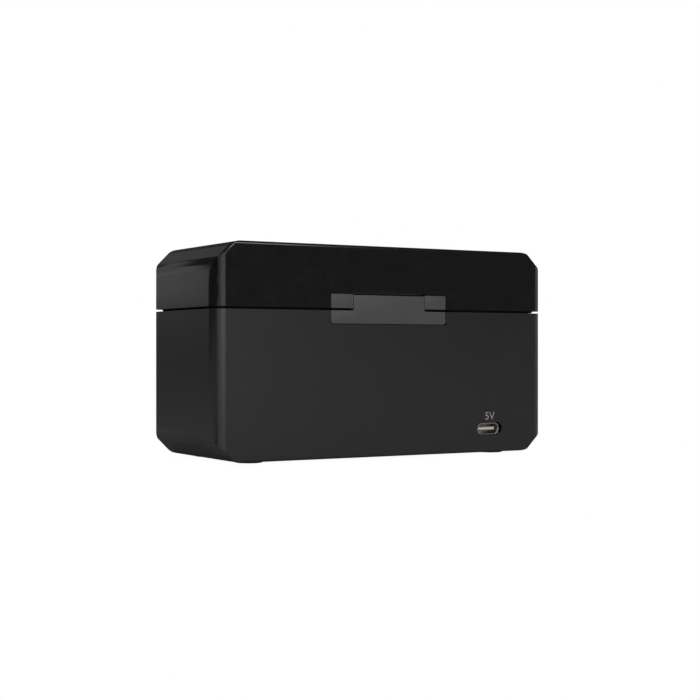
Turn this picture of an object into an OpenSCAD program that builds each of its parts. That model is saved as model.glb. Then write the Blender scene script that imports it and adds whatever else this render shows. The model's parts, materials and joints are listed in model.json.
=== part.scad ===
// Filament dryer box: a hinged lid over a heated base that turns two mini spools on rollers.
// The origin lies on the floor under the middle of the box. +Z is up, -Y is the front with the
// display, and +Y is the rear with the hinge and the power socket.

/* [Case] */
// Width of the closed box from side to side
case_w = 224; // [223:0.5:226]
// Depth of the closed box from front to rear
case_d = 87; // [86.5:0.5:88]
// Height of the closed box without its feet
case_h = 122; // [121:0.5:124]
// Thickness of the outer shells
wall = 2.5; // [2.3:0.1:2.6]
// Reach of the sloped corners along the top, bottom and sides
corner_cut = 12.1; // [11:0.1:13]
// Radius that softens both ends of each sloped corner
corner_round = 12.4; // [11:0.1:13]
// Radius of the upright edges
edge_round = 7.4; // [7:0.1:7.8]
// Radius around the front and rear faces
face_round = 2; // [1.5:0.1:2.5]
// Height of the lid joint above the floor
rim_z = 85.7; // [85.5:0.1:86]
// Open gap between the base rim and the lid rim
seam = 1.3; // [1.2:0.05:1.4]

/* [Feet] */
// Height of each rubber foot
foot_h = 1.2; // [1:0.1:1.5]
// Radius of each rubber foot
foot_r = 8; // [6:0.5:9]
// Distance of each foot's middle from the side of the box
foot_from_side = 29; // [25:1:60]
// Distance of each foot's middle from the front or rear of the box
foot_from_rear = 16.5; // [14:0.5:20]

/* [Hinge] */
// Width of the whole hinge
hinge_w = 78.2; // [76:0.2:80]
// Width of the middle block that stands on the base leaf
block_w = 48.6; // [46:0.2:50]
// Height of the base leaf below the rim
leaf_h = 7.6; // [7.2:0.1:8]
// Height of the hinge block above the lid rim
knuckle_h = 8.1; // [8:0.1:8.5]
// Depth of the hinge from the rear face
hinge_d = 6; // [6:0.1:6.2]
// Radius of the hinge pin
pin_r = 1.25; // [1:0.05:1.4]

/* [Spools] */
// Largest spool diameter that the box takes
spool_dia = 100; // [96:1:101]
// Distance of each spool's middle from the middle of the box
spool_x = 52.5; // [52:0.1:52.7]
// Half the distance between the two rollers under one spool
roller_reach = 30; // [29:0.5:31]
// Radius of each roller
roller_r = 5; // [4.5:0.1:5.2]
// Radius of each roller's axle
axle_r = 2; // [1.8:0.1:2.2]

/* [Socket] */
// Distance of the socket's middle from the side of the box
socket_from_side = 40.6; // [40:0.1:41]
// Height of the socket's middle above the floor
socket_z = 15.4; // [15.2:0.1:15.6]
// Width and height of the opening in the rear wall
socket_hole = [18.5, 7.7]; // [7:0.1:19]
// Width and height of the metal shell
socket_size = [15.6, 6.4]; // [6:0.1:16]
// Radius of the metal shell's corners
socket_corner = 3; // [2.6:0.1:3.1]

/* [Display] */
// Width and height of the display window
window_size = [48, 18]; // [16:1:50]
// Distance of the display window's middle from the middle of the box
window_x = -16; // [-20:1:-14]
// Height of the display and the buttons above the floor
window_z = 58; // [56:1:60]
// Radius of each push button
button_r = 3.4; // [3:0.1:3.8]
// Distance that a button can be pushed in
button_travel = 0.8; // [0.6:0.1:0.8]

/* [Filament outlets] */
// Height of the filament outlets above the floor
outlet_z = 72; // [71:0.5:73]
// Radius of the passage for the filament
outlet_bore = 2.1; // [1.5:0.1:2.3]

/* [Lid window] */
// Distance of the lid window from the sides of the box
glazing_from_side = 37; // [34:1:45]
// Distance of the lid window from the front and rear of the box
glazing_from_rear = 18.5; // [17:0.5:22]

/* [Fits] */
// Radial clearance of a shaft that turns in its bore
run_fit = 0.05; // [0.03:0.01:0.08]
// Gap around pieces that drop into a recess
drop_fit = 0.15; // [0.1:0.05:0.2]
// Gap that shows around the hinge in the rear wall
leaf_gap = 0.35; // [0.3:0.05:0.4]

/* [Hidden] */
$fn = 64;

case_black = "#1b1b1d";
lid_black = "#111113";
hinge_grey = "#4b4b4d";
tub_grey = "#3a3b3d";
steel = "#b4b7ba";
rubber = "#161616";
board_green = "#1f5b3a";
ivory = "#e4e2da";
packet_blue = "#7fa7c4";
fan_black = "#26272a";
duct_cream = "#c8bfa6";
contact_gold = "#caa24a";
smoked = "#282c32";
panel_grey = "#8f9a94";
ribbon_grey = "#b9b5aa";
lead_red = "#8c2020";

// Levels and faces of the case
base_z = foot_h;
top_z = foot_h + case_h;
floor_z = base_z + wall;
lid_z = rim_z + seam;
rear_y = case_d / 2;
front_y = -case_d / 2;
inner_x = case_w / 2 - wall;
inner_y = case_d / 2 - wall;
lap = 0.3;
beyond = 2 * case_w;
foot_at = [case_w / 2 - foot_from_side, case_d / 2 - foot_from_rear];

// Hinge
pin_y = rear_y - hinge_d / 2;
pin_z = lid_z + 4.2;
hinge_front = rear_y - hinge_d;
leaf_z = rim_z - leaf_h;
knuckle_z = lid_z + knuckle_h;
swing_r = 5.3;
bridge_h = 4.9;
block_gap = 0.8;
side_gap = 0.2;
hinge_screw_r = 1;
hinge_screw_x = hinge_w / 2 - 7.1;
hinge_screw_z = [leaf_z + 3.6, knuckle_z + 2.6];
leaf_corners = [1.5, 0.4];

// Drying tub: air lies between it and the case on every side
tub_wall = 1.5;
side_air = 2;
front_bay = 7.5;
rear_bay = 6.5;
tub_x = inner_x - side_air - tub_wall;
tub_y = [-inner_y + front_bay + tub_wall, inner_y - rear_bay - tub_wall];
tub_floor = 15.5;
flange_h = 1.5;
flange_gap = 0.2;
flange_z = rim_z - flange_h;
boss_gap = 0.5;
boss_y = tub_y[1] + tub_wall + boss_gap;
tub_screw_r = 1.25;
tub_screw_at = [for (x = [-1, 1], y = [-inner_y + 3.7, inner_y - 3]) [x * (tub_x - 14), y]];

// Lid seal: a ring that passes in front of the hinge
seal_z = [rim_z + 0.3, lid_z + 1.3];
seal_inset = [3.8, 6.3];
seal_jog_x = [hinge_w / 2 + 4.2, hinge_w / 2 + 6.4];
seal_jog_y = [hinge_front - 4.1, hinge_front - 1.9];
land_h = 2;
land_inset = 7;

// Magnets
magnet_r = 2.5;
magnet_h = 2.5;
magnet_at = [for (x = [-1, 1]) [x * (tub_x - 4.7), tub_y[0] - 1.4]];
cup_r = 3.5;
skin = 0.6;
lid_cup_z = rim_z + 0.4;

// Rollers, cradles and bearings
bay_mid = (tub_y[0] + tub_y[1]) / 2 - 2.4;
cradle_t = 2.5;
cradle_in = (tub_y[1] - tub_y[0]) / 2 - 5.1;
roller_half = cradle_in - 1.3;
spool_r = spool_dia / 2;
roller_rise = sqrt(pow(spool_r + roller_r, 2) - pow(roller_reach, 2));
spool_lift = 2.3;
roller_z = tub_floor + spool_lift + spool_r - roller_rise;
roller_xs = [for (spool = [-spool_x, spool_x], side = [-roller_reach, roller_reach]) spool + side];
bearing_r = 3.5;
bearing_flange = [4.5, 0.8];
cradle_x = tub_x - 6;
tab = [10, 6, 1.5];
tab_screw_r = 0.9;
tab_screw_x = spool_x + roller_reach / 2;
tab_screw_y = 2.8;

// Desiccant cartridge
cart_x = 14;
cart_half = cradle_in - 3.4;
cart_y = [bay_mid - cart_half, bay_mid + cart_half];
cart_z = [tub_floor + 0.3, tub_floor + 15.5];
cart_wall = 1.2;
cart_cover_h = 1.6;
cart_slots = 9;
cart_slot_w = 2;
grip = [1.5, 10, 11];

// Circuit boards
board_t = 1.6;
board_screw_r = 0.9;
post_r = 2.5;
main_x = [-tub_x + 9, -tub_x + 66];
main_y = [tub_y[0] + 6, tub_y[1] - 13];
main_z = floor_z + 2.5;
lead_x = main_x[1] - 0.45;
main_posts = [for (x = [main_x[0] + 4, main_x[1] - 4], y = [main_y[0] + 4, main_y[1] - 4]) [x, y]];

// Blower and heater, in the space under the tub
blower_w = 40;
blower_at = [tub_x - 32, 0];
blower_x = [blower_at[0] - blower_w / 2, blower_at[0] + blower_w / 2];
blower_z = [floor_z, floor_z + 7.7];
blower_wall = 1.2;
blower_cavity_r = 17.5;
blower_mouth = 11;
cover_h = 1;
impeller_r = 15.5;
impeller_z = [blower_z[0] + 1.7, blower_z[0] + 6.7];
impeller_blades = 13;
hub_r = 8.5;
shaft_r = 1;
duct_x = [main_x[1] + 8, blower_x[0]];
duct_y = 13;
duct_z = [floor_z, tub_floor - tub_wall - 0.2];
duct_wall = 1.2;
heater_x = [duct_x[1] - 24, duct_x[1] - 4];
heater_fins = 23;
fin_t = 0.4;
vent_pitch = 4;
vent_w = 2;
vent_y = 11;
duct_vents = [[duct_x[0] + 3, 4], [heater_x[0] - 16, 4]];
intake_vents = [blower_at[0] - 10, 6];
floor_vents = [heater_x[0], 6];

// Power socket and its board
socket_x = -case_w / 2 + socket_from_side;
socket_depth = 10.7;
socket_mouth = rear_y - 1.8;
socket_back = socket_mouth - socket_depth;
socket_sheet = 0.35;
socket_lip = [0.5, 0.4];
tongue = [12, 1.8, 1.6];
contact_xs = [-4, -1.3, 1.3, 4];
socket_board_x = [socket_x - 10.5, socket_x + 10.5];
socket_board_y = [inner_y - 15, inner_y - 0.2];
socket_board_z = socket_z - socket_size[1] / 2 - board_t;
socket_posts = [for (x = [-8, 8]) [socket_x + x, inner_y - 12.5]];
pocket_x = [socket_x - 11, socket_x + 11];
pocket_y = socket_back - 2.4;
pocket_z = socket_z + 5.6;

// Display and buttons
window_t = 1.2;
window_lip = 2;
module_h = 4.4;
button_xs = [for (i = [0:2]) window_x + window_size[0] / 2 + 14 + 10 * i];
button_play = 0.2;
button_flange = [1, 0.1, 0.9];
display_x = [main_x[1] - 18, button_xs[2] + 8];
display_z = [window_z - 14, window_z + 9];
display_y = -inner_y + module_h;
display_posts = [for (x = [display_x[0] + 3.5, display_x[1] - 3.5], z = [display_z[0] + 3, display_z[1] - 3])
                 [x, z]];
dome_r = [2.1, 3.4];
dome_h = display_y + inner_y - button_flange[2] - button_travel - 0.2;

// Filament outlets
outlet_r = [3.9, 5];
outlet_flange = 1;

// Lid window
glazing = [case_w - 2 * glazing_from_side, case_d - 2 * glazing_from_rear];
glazing_lip = 3;
glazing_t = 1.5;
glazing_plug = 1.2;

// ---------- helpers ----------

// A block between low and high limits along each axis
module block(x, y, z) {
  translate([x[0], y[0], z[0]]) cube([x[1] - x[0], y[1] - y[0], z[1] - z[0]]);
}

// Rods along X, Y and Z, each through a point of its axis and between two limits
module rod_x(r, x, at) {
  translate([x[0], at[0], at[1]]) rotate([0, 90, 0]) cylinder(r = r, h = x[1] - x[0]);
}

module rod_y(r, y, at) {
  translate([at[0], y[1], at[1]]) rotate([90, 0, 0]) cylinder(r = r, h = y[1] - y[0]);
}

module rod_z(r, z, at) {
  translate([at[0], at[1], z[0]]) cylinder(r = r, h = z[1] - z[0]);
}

module rounded_rect(w, d, r) {
  square([w - 2 * r, d], center = true);
  square([w, d - 2 * r], center = true);
  for (x = [-1, 1], y = [-1, 1]) translate([x * (w / 2 - r), y * (d / 2 - r)]) circle(r);
}

module slot_shape(w, h) {
  square([w - h, h], center = true);
  for (x = [-1, 1]) translate([x * (w - h) / 2, 0]) circle(h / 2);
}

// A rectangle with its two lower corners rounded
module foot_rounded(w, h, r) {
  blend = 0.02;
  intersection() {
    translate([-w / 2, 0]) square([w, h]);
    union() {
      polygon([[r[1] - w / 2, 0], [w / 2 - r[0], 0], [w / 2, r[0]], [w / 2, h], [-w / 2, h], [-w / 2, r[1]]]);
      translate([w / 2 - r[0], r[0]]) circle(r[0] + blend);
      translate([r[1] - w / 2, r[1]]) circle(r[1] + blend);
    }
  }
}

// Outline of the case seen from the front: a rectangle with sloped corners, softened at each bend
module case_outline(w, h, cut, r) {
  t = r * tan(22.5);
  far = cut + t;
  near = t / sqrt(2);
  blend = 0.02;
  intersection() {
    polygon([[w / 2 - cut, h / 2], [w / 2, h / 2 - cut], [w / 2, cut - h / 2], [w / 2 - cut, -h / 2],
             [cut - w / 2, -h / 2], [-w / 2, cut - h / 2], [-w / 2, h / 2 - cut], [cut - w / 2, h / 2]]);
    union() {
      for (x = [-1, 1]) polygon([
        [0, h / 2], [x * (w / 2 - far), h / 2], [x * (w / 2 - cut + near), h / 2 - near],
        [x * (w / 2 - near), h / 2 - cut + near], [x * w / 2, h / 2 - far],
        [x * w / 2, far - h / 2], [x * (w / 2 - near), cut - h / 2 - near],
        [x * (w / 2 - cut + near), near - h / 2], [x * (w / 2 - far), -h / 2], [0, -h / 2]]);
      for (x = [-1, 1], z = [-1, 1]) {
        translate([x * (w / 2 - far), z * (h / 2 - r)]) circle(r + blend);
        translate([x * (w / 2 - r), z * (h / 2 - far)]) circle(r + blend);
      }
    }
  }
}

// The closed case, set in by a distance from its outer surface: the outline, then the upright
// edges, then the soft edge that the front and rear faces have along the top and the slopes
module case_form(inset) {
  w = case_w - 2 * inset;
  d = case_d - 2 * inset;
  h = case_h - 2 * inset;
  cut = corner_cut - inset * (2 - sqrt(2));
  across = (w + h - 2 * cut) / sqrt(2);
  soft = max(face_round - inset, 0.4);
  translate([0, 0, base_z + case_h / 2]) intersection() {
    rotate([90, 0, 0]) linear_extrude(2 * d, center = true) case_outline(w, h, cut, corner_round - inset);
    linear_extrude(2 * h, center = true) rounded_rect(w, d, edge_round - inset);
    rotate([90, 0, 90]) linear_extrude(2 * w, center = true) rounded_rect(d, h, soft);
    rotate([0, 45, 0]) rotate([90, 0, 90]) linear_extrude(2 * w, center = true) rounded_rect(d, across, soft);
    rotate([0, -45, 0]) rotate([90, 0, 90]) linear_extrude(2 * w, center = true) rounded_rect(d, across, soft);
  }
}

// All that lies between two levels
module level(z) {
  block([-beyond, beyond], [-beyond, beyond], z);
}

module hollow_case(z) {
  intersection() {
    difference() {
      case_form(0);
      case_form(wall);
    }
    level(z);
  }
}

// A pan-head screw along +Z: the head stands on z = 0 and the shank points down
module pan_screw(r, length) {
  cylinder(r = 1.9 * r, h = 0.9 * r);
  translate([0, 0, -length]) cylinder(r = r, h = length);
}

// A countersunk screw along +Z: the head ends flush at z = 0
module sunk_screw(r, length) {
  translate([0, 0, -0.9 * r]) cylinder(r1 = r, r2 = 1.9 * r, h = 0.9 * r);
  translate([0, 0, -length]) cylinder(r = r, h = length - 0.9 * r);
}

// A wire along a cubic curve with four control points, as a tube of rings
function curve_point(p, t) =
  pow(1 - t, 3) * p[0] + 3 * pow(1 - t, 2) * t * p[1] + 3 * (1 - t) * t * t * p[2] + pow(t, 3) * p[3];
function curve_slope(p, t) =
  3 * pow(1 - t, 2) * (p[1] - p[0]) + 6 * (1 - t) * t * (p[2] - p[1]) + 3 * t * t * (p[3] - p[2]);
function unit(v) = v / norm(v);

module wire(p, r, steps = 12, sides = 8) {
  rings = [for (i = [0:steps])
    let (t = i / steps, c = curve_point(p, t), along = unit(curve_slope(p, t)),
         side = unit(cross(along, [0.31, 0.17, 0.93])), up = cross(side, along))
    for (k = [0:sides - 1]) c + r * (cos(360 * k / sides) * side + sin(360 * k / sides) * up)];
  walls = [for (i = [0:steps - 1], k = [0:sides - 1])
    let (a = i * sides + k, b = i * sides + (k + 1) % sides) [a, b, b + sides, a + sides]];
  ends = [[for (k = [sides - 1:-1:0]) k], [for (k = [0:sides - 1]) steps * sides + k]];
  polyhedron(rings, concat(walls, ends));
}

// ---------- base ----------

module hinge_leaf_shape(around, behind) {
  translate([0, rear_y + 1, leaf_z - around]) rotate([90, 0, 0]) linear_extrude(hinge_d + 1 + behind)
    foot_rounded(hinge_w + 2 * around, 2 * leaf_h, leaf_corners);
}

module base_shell() color(case_black) difference() {
  ledge_h = 2;
  hinge_boss_x = hinge_w / 2 + 3.4;
  hinge_boss_z = leaf_z - 6.5;
  tub_post_z = flange_z - 14;
  union() {
    hollow_case([0, rim_z]);
    intersection() {
      difference() {
        case_form(wall - lap);
        case_form(wall + ledge_h);
      }
      level([flange_z - ledge_h, flange_z]);
    }
    block([-hinge_boss_x, hinge_boss_x], [boss_y, inner_y + lap], [hinge_boss_z, flange_z]);
    for (at = tub_screw_at) {
      rod_z(post_r, [tub_post_z, flange_z], at);
      block([at[0] - 1, at[0] + 1], at[1] > 0 ? [at[1], inner_y + lap] : [-inner_y - lap, at[1]],
            [tub_post_z, flange_z]);
    }
    for (at = main_posts) rod_z(post_r, [floor_z - lap, main_z], at);
    for (at = socket_posts) rod_z(post_r, [floor_z - lap, socket_board_z], at);
    for (at = display_posts) rod_y(post_r, [-inner_y - lap, display_y], at);
  }
  intersection() {
    hinge_leaf_shape(leaf_gap, drop_fit);
    level([leaf_z - leaf_gap, rim_z + 1]);
  }
  for (x = [-1, 1]) translate([x * hinge_screw_x, boss_y, hinge_screw_z[0]]) rotate([90, 0, 0])
    sunk_screw(hinge_screw_r + 0.05, hinge_d);
  translate([socket_x, rear_y + 1, socket_z]) rotate([90, 0, 0]) linear_extrude(wall + 2)
    slot_shape(socket_hole[0], socket_hole[1]);
  for (x = [-spool_x, spool_x]) {
    rod_y(outlet_r[0] + run_fit, [-beyond, -inner_y + 1], [x, outlet_z]);
    rod_y(outlet_r[1] + run_fit, [-beyond, front_y + outlet_flange], [x, outlet_z]);
  }
  translate([window_x, -inner_y + 1, window_z]) rotate([90, 0, 0]) linear_extrude(case_d)
    square([window_size[0] - 2 * window_lip, window_size[1] - 2 * window_lip], center = true);
  translate([window_x, front_y + window_t, window_z]) rotate([90, 0, 0]) linear_extrude(case_d)
    rounded_rect(window_size[0], window_size[1], window_lip);
  for (x = button_xs) rod_y(button_r + button_play, [-beyond, -inner_y + 1], [x, window_z]);
  for (at = tub_screw_at) rod_z(tub_screw_r, [flange_z - 9, flange_z + 1], at);
  for (at = main_posts) rod_z(board_screw_r, [floor_z, main_z + 1], at);
  for (at = socket_posts) rod_z(board_screw_r, [floor_z + 1, socket_board_z + 1], at);
  for (at = display_posts) rod_y(board_screw_r, [-inner_y, display_y + 1], at);
  vent_row(floor_vents, [duct_y + 5, inner_y - 7], [-1, floor_z + 1]);
}

module foot_pads() color(rubber) {
  for (x = [-1, 1], y = [-1, 1]) rod_z(foot_r, [0, foot_h], [x * foot_at[0], y * foot_at[1]]);
}

// Slots side by side: the group gives the first slot's place along X and how many there are
module vent_row(group, y, z) {
  for (i = [0:group[1] - 1]) block([group[0] + i * vent_pitch, group[0] + i * vent_pitch + vent_w], y, z);
}

module drying_tub() color(tub_grey) {
  mid = (tub_y[0] + tub_y[1]) / 2;
  depth = tub_y[1] - tub_y[0];
  corner = 4;
  notch_x = hinge_w / 2 + 4.2;
  difference() {
    union() {
      difference() {
        union() {
          translate([0, mid, tub_floor - tub_wall]) linear_extrude(flange_z + lap - tub_floor + tub_wall)
            rounded_rect(2 * (tub_x + tub_wall), depth + 2 * tub_wall, corner);
          translate([0, 0, flange_z]) linear_extrude(flange_h)
            rounded_rect(2 * (inner_x - flange_gap), 2 * (inner_y - flange_gap),
                         edge_round - wall - flange_gap);
        }
        translate([0, mid, tub_floor]) linear_extrude(case_h) rounded_rect(2 * tub_x, depth, corner - tub_wall);
      }
      for (at = magnet_at) rod_z(cup_r, [flange_z - magnet_h - skin, rim_z], at);
      block(pocket_x, [pocket_y, tub_y[1] + lap], [tub_floor - tub_wall, pocket_z]);
    }
    block([-notch_x, notch_x], [hinge_front - 0.2, beyond], [flange_z - 1, rim_z + 1]);
    block([pocket_x[0] + tub_wall, pocket_x[1] - tub_wall], [pocket_y + tub_wall, beyond],
          [0, pocket_z - tub_wall]);
    for (at = magnet_at) rod_z(magnet_r, [0, rim_z - skin], at);
    for (at = tub_screw_at) translate([at[0], at[1], rim_z]) sunk_screw(tub_screw_r, 2 * flange_h);
    for (x = [-spool_x, spool_x]) rod_y(outlet_r[0] + run_fit, [-inner_y, tub_y[0] + 1], [x, outlet_z]);
    for (group = concat(duct_vents, [intake_vents])) vent_row(group, [-vent_y, vent_y], [0, tub_floor + 1]);
    for (x = [-tab_screw_x, tab_screw_x], y = [-cradle_in + tab_screw_y, cradle_in - tab_screw_y])
      rod_z(tab_screw_r, [0, tub_floor + 1], [x, bay_mid + y]);
  }
}

module tub_screws() color(steel) {
  for (at = tub_screw_at) translate([at[0], at[1], rim_z]) sunk_screw(tub_screw_r, 9);
}

module base_magnets() color(steel) {
  for (at = magnet_at) rod_z(magnet_r, [rim_z - skin - magnet_h, rim_z - skin], at);
}

// ---------- hinge ----------

// The ends of the hinge on both sides of its middle block
module hinge_ends(y, z) {
  for (side = [0, 1]) mirror([side, 0, 0]) block([block_w / 2 + side_gap, hinge_w / 2], y, z);
}

module hinge_base_leaf() color(hinge_grey) difference() {
  union() {
    intersection() {
      hinge_leaf_shape(0, 0);
      block([-beyond, beyond], [hinge_front, rear_y], [leaf_z, rim_z]);
    }
    block([-block_w / 2, block_w / 2], [hinge_front, rear_y], [rim_z - 1, knuckle_z]);
  }
  rod_x(pin_r, [-beyond, beyond], [pin_y, pin_z]);
  for (x = [-hinge_screw_x, hinge_screw_x])
    rod_y(hinge_screw_r, [hinge_front - 1, rear_y - 1.5], [x, hinge_screw_z[0]]);
}

module hinge_pin() color(steel) rod_x(pin_r, [-hinge_w / 2 + 1, hinge_w / 2 - 1], [pin_y, pin_z]);

module hinge_base_screws() color(steel) {
  for (x = [-hinge_screw_x, hinge_screw_x]) translate([x, boss_y, hinge_screw_z[0]]) rotate([90, 0, 0])
    sunk_screw(hinge_screw_r, rear_y - boss_y - 1.7);
}

module hinge_lid_leaf() color(hinge_grey) difference() {
  union() {
    hinge_ends([hinge_front, rear_y], [lid_z, knuckle_z]);
    hinge_ends([hinge_front, inner_y - side_gap], [knuckle_z - 1, knuckle_z + 1]);
    block([-hinge_w / 2, hinge_w / 2], [hinge_front, inner_y - side_gap],
          [knuckle_z + side_gap, knuckle_z + bridge_h]);
  }
  rod_x(pin_r + run_fit, [-beyond, beyond], [pin_y, pin_z]);
  rod_x(swing_r, [-block_w / 2 - side_gap, block_w / 2 + side_gap], [pin_y, pin_z]);
  for (x = [-hinge_screw_x, hinge_screw_x])
    rod_y(hinge_screw_r, [hinge_front - 1, inner_y - 0.8], [x, hinge_screw_z[1]]);
}

module hinge_lid_screws() color(steel) {
  head_y = seal_jog_y[0] + 1;
  for (x = [-hinge_screw_x, hinge_screw_x]) translate([x, head_y, hinge_screw_z[1]]) rotate([90, 0, 0])
    pan_screw(hinge_screw_r, inner_y - 1 - head_y);
}

// ---------- rollers ----------

// A cradle that carries one end of every roller, for the front; the rear one is its mirror image
module cradle() difference() {
  y = [-cradle_in - cradle_t, -cradle_in];
  bump_r = 6;
  union() {
    block([-cradle_x, cradle_x], y, [tub_floor, tub_floor + 4]);
    for (x = roller_xs) {
      block([x - bump_r + 0.8, x + bump_r - 0.8], y, [tub_floor, roller_z]);
      rod_y(bump_r, y, [x, roller_z]);
    }
    for (side = [0, 1]) mirror([side, 0, 0])
      block([tab_screw_x - tab[0] / 2, tab_screw_x + tab[0] / 2], [y[0], y[1] + tab[1]],
            [tub_floor, tub_floor + tab[2]]);
  }
  for (x = roller_xs) rod_y(bearing_r, [y[0] - 1, y[1] + 1], [x, roller_z]);
  for (x = [-tab_screw_x, tab_screw_x])
    rod_z(tab_screw_r, [tub_floor - 1, tub_floor + 2 * tab[2]], [x, y[1] + tab_screw_y]);
}

module front_cradle() color(tub_grey) translate([0, bay_mid, 0]) cradle();

module rear_cradle() color(tub_grey) translate([0, bay_mid, 0]) mirror([0, 1, 0]) cradle();

module cradle_screws() color(steel) {
  for (x = [-tab_screw_x, tab_screw_x], y = [-cradle_in + tab_screw_y, cradle_in - tab_screw_y])
    translate([x, bay_mid + y, tub_floor + tab[2]]) pan_screw(tab_screw_r, 2 * tab[2]);
}

module roller_bearings() color(ivory) {
  for (x = roller_xs, side = [0, 1]) translate([0, bay_mid, 0]) mirror([0, side, 0]) difference() {
    union() {
      rod_y(bearing_r, [-cradle_in - cradle_t, -cradle_in], [x, roller_z]);
      rod_y(bearing_flange[0], [-cradle_in, -cradle_in + bearing_flange[1]], [x, roller_z]);
    }
    rod_y(axle_r + run_fit, [-case_d, case_d], [x, roller_z]);
  }
}

module roller(x) color(tub_grey) difference() {
  groove_at = 18;
  groove = [2, 0.6];
  rod_y(roller_r, [bay_mid - roller_half, bay_mid + roller_half], [x, roller_z]);
  rod_y(axle_r, [-case_d, case_d], [x, roller_z]);
  for (y = [-groove_at, groove_at]) translate([x, bay_mid + y, roller_z]) rotate([90, 0, 0]) difference() {
    cylinder(r = 2 * roller_r, h = groove[0], center = true);
    cylinder(r = roller_r - groove[1], h = 2 * groove[0], center = true);
  }
}

module roller_axle(x) color(steel) {
  half = cradle_in + cradle_t - 0.2;
  rod_y(axle_r, [bay_mid - half, bay_mid + half], [x, roller_z]);
}

module roller_1() { roller(roller_xs[0]); }
module roller_2() { roller(roller_xs[1]); }
module roller_3() { roller(roller_xs[2]); }
module roller_4() { roller(roller_xs[3]); }
module roller_axle_1() { roller_axle(roller_xs[0]); }
module roller_axle_2() { roller_axle(roller_xs[1]); }
module roller_axle_3() { roller_axle(roller_xs[2]); }
module roller_axle_4() { roller_axle(roller_xs[3]); }

// ---------- desiccant ----------

// The slots of the cartridge and its cover, spread along their length
module cartridge_slots(x, z) {
  pitch = 2 * cart_half / (cart_slots + 1);
  for (i = [1:cart_slots])
    block(x, [cart_y[0] + i * pitch - cart_slot_w / 2, cart_y[0] + i * pitch + cart_slot_w / 2], z);
}

module desiccant_cartridge() color(ivory) difference() {
  block([-cart_x, cart_x], cart_y, cart_z);
  block([-cart_x + cart_wall, cart_x - cart_wall], [cart_y[0] + cart_wall, cart_y[1] - cart_wall],
        [cart_z[0] + cart_wall, cart_z[1] + 1]);
  cartridge_slots([-cart_x - 1, cart_x + 1], [cart_z[0] + 3.5, cart_z[1] - 3]);
}

module desiccant_packet() color(packet_blue) {
  gap = cart_wall + 0.2;
  block([-cart_x + gap, cart_x - gap], [cart_y[0] + gap, cart_y[1] - gap],
        [cart_z[0] + cart_wall, cart_z[1] - 0.8]);
}

module desiccant_cover() color(ivory) difference() {
  union() {
    block([-cart_x, cart_x], cart_y, [cart_z[1], cart_z[1] + cart_cover_h]);
    block([-grip[0], grip[0]], [bay_mid - grip[1], bay_mid + grip[1]], [cart_z[1] + 1, cart_z[1] + grip[2]]);
  }
  for (side = [0, 1]) mirror([side, 0, 0]) cartridge_slots([4, cart_x - 3], [cart_z[1] - 1, cart_z[1] + 3]);
  rod_x(3, [-2 * grip[0], 2 * grip[0]], [bay_mid, cart_z[1] + 6.5]);
}

// ---------- blower and heater ----------

module blower_housing() color(rubber) difference() {
  inside = [blower_z[0] + blower_wall, blower_z[1] + 1];
  block(blower_x, [-blower_w / 2, blower_w / 2], blower_z);
  rod_z(blower_cavity_r, inside, blower_at);
  block([blower_x[0] - 1, blower_at[0]], [-blower_mouth, blower_mouth], inside);
}

module blower_cover() color(rubber) difference() {
  block(blower_x, [-blower_w / 2, blower_w / 2], [blower_z[1], blower_z[1] + cover_h]);
  rod_z(impeller_r - 4, [blower_z[1] - 1, blower_z[1] + 2], blower_at);
}

module blower_motor() color(steel) difference() {
  union() {
    rod_z(3 * shaft_r, [blower_z[0] + blower_wall, impeller_z[1] - 1.4], blower_at);
    rod_z(hub_r - 1.7, [impeller_z[0] + 0.4, impeller_z[1] - 1.6], blower_at);
  }
  rod_z(shaft_r + run_fit, [0, impeller_z[1]], blower_at);
}

module blower_impeller() color(fan_black) {
  blade = [7.2, 0.7];
  difference() {
    union() {
      rod_z(hub_r, impeller_z, blower_at);
      rod_z(impeller_r, [impeller_z[0], impeller_z[0] + 0.8], blower_at);
      for (i = [0:impeller_blades - 1])
        translate([blower_at[0], blower_at[1], impeller_z[0]]) rotate([0, 0, i * 360 / impeller_blades])
          translate([hub_r - lap, 0, 0]) rotate([0, 0, 32])
            cube([blade[0], blade[1], impeller_z[1] - impeller_z[0]]);
    }
    rod_z(hub_r - 1.1, [0, impeller_z[1] - 1], blower_at);
  }
  rod_z(shaft_r, [impeller_z[0] - 0.3, impeller_z[1] - 0.5], blower_at);
}

module heater_duct() color(duct_cream) difference() {
  block(duct_x, [-duct_y, duct_y], duct_z);
  block([duct_x[0] + duct_wall, duct_x[1] + 1], [-duct_y + duct_wall, duct_y - duct_wall],
        [duct_z[0] + duct_wall, duct_z[1] - duct_wall]);
  for (group = duct_vents) vent_row(group, [-vent_y, vent_y], [duct_z[1] - 2 * duct_wall, duct_z[1] + 1]);
}

module ptc_heater() color(steel) {
  bar_h = 1.2;
  z = [duct_z[0] + duct_wall, duct_z[1] - duct_wall];
  y = duct_y - duct_wall - 0.3;
  pitch = (2 * y - 1 - fin_t) / (heater_fins - 1);
  for (h = [z[0], (z[0] + z[1] - bar_h) / 2, z[1] - bar_h]) block(heater_x, [-y, y], [h, h + bar_h]);
  for (i = [0:heater_fins - 1])
    block([heater_x[0] + 1, heater_x[1] - 1], [-y + 0.5 + i * pitch, -y + 0.5 + i * pitch + fin_t], z);
}

module thermal_cutout() color(steel) {
  size = [9, 2.4, 6];
  mid = (heater_x[0] + heater_x[1]) / 2;
  low = floor_z + 2.3;
  block([mid - size[0] / 2, mid + size[0] / 2], [duct_y, duct_y + size[1]], [low, low + size[2]]);
  rod_y(2, [duct_y + 1, duct_y + size[1] + 0.8], [mid, low + size[2] / 2]);
}

// ---------- boards ----------

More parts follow.
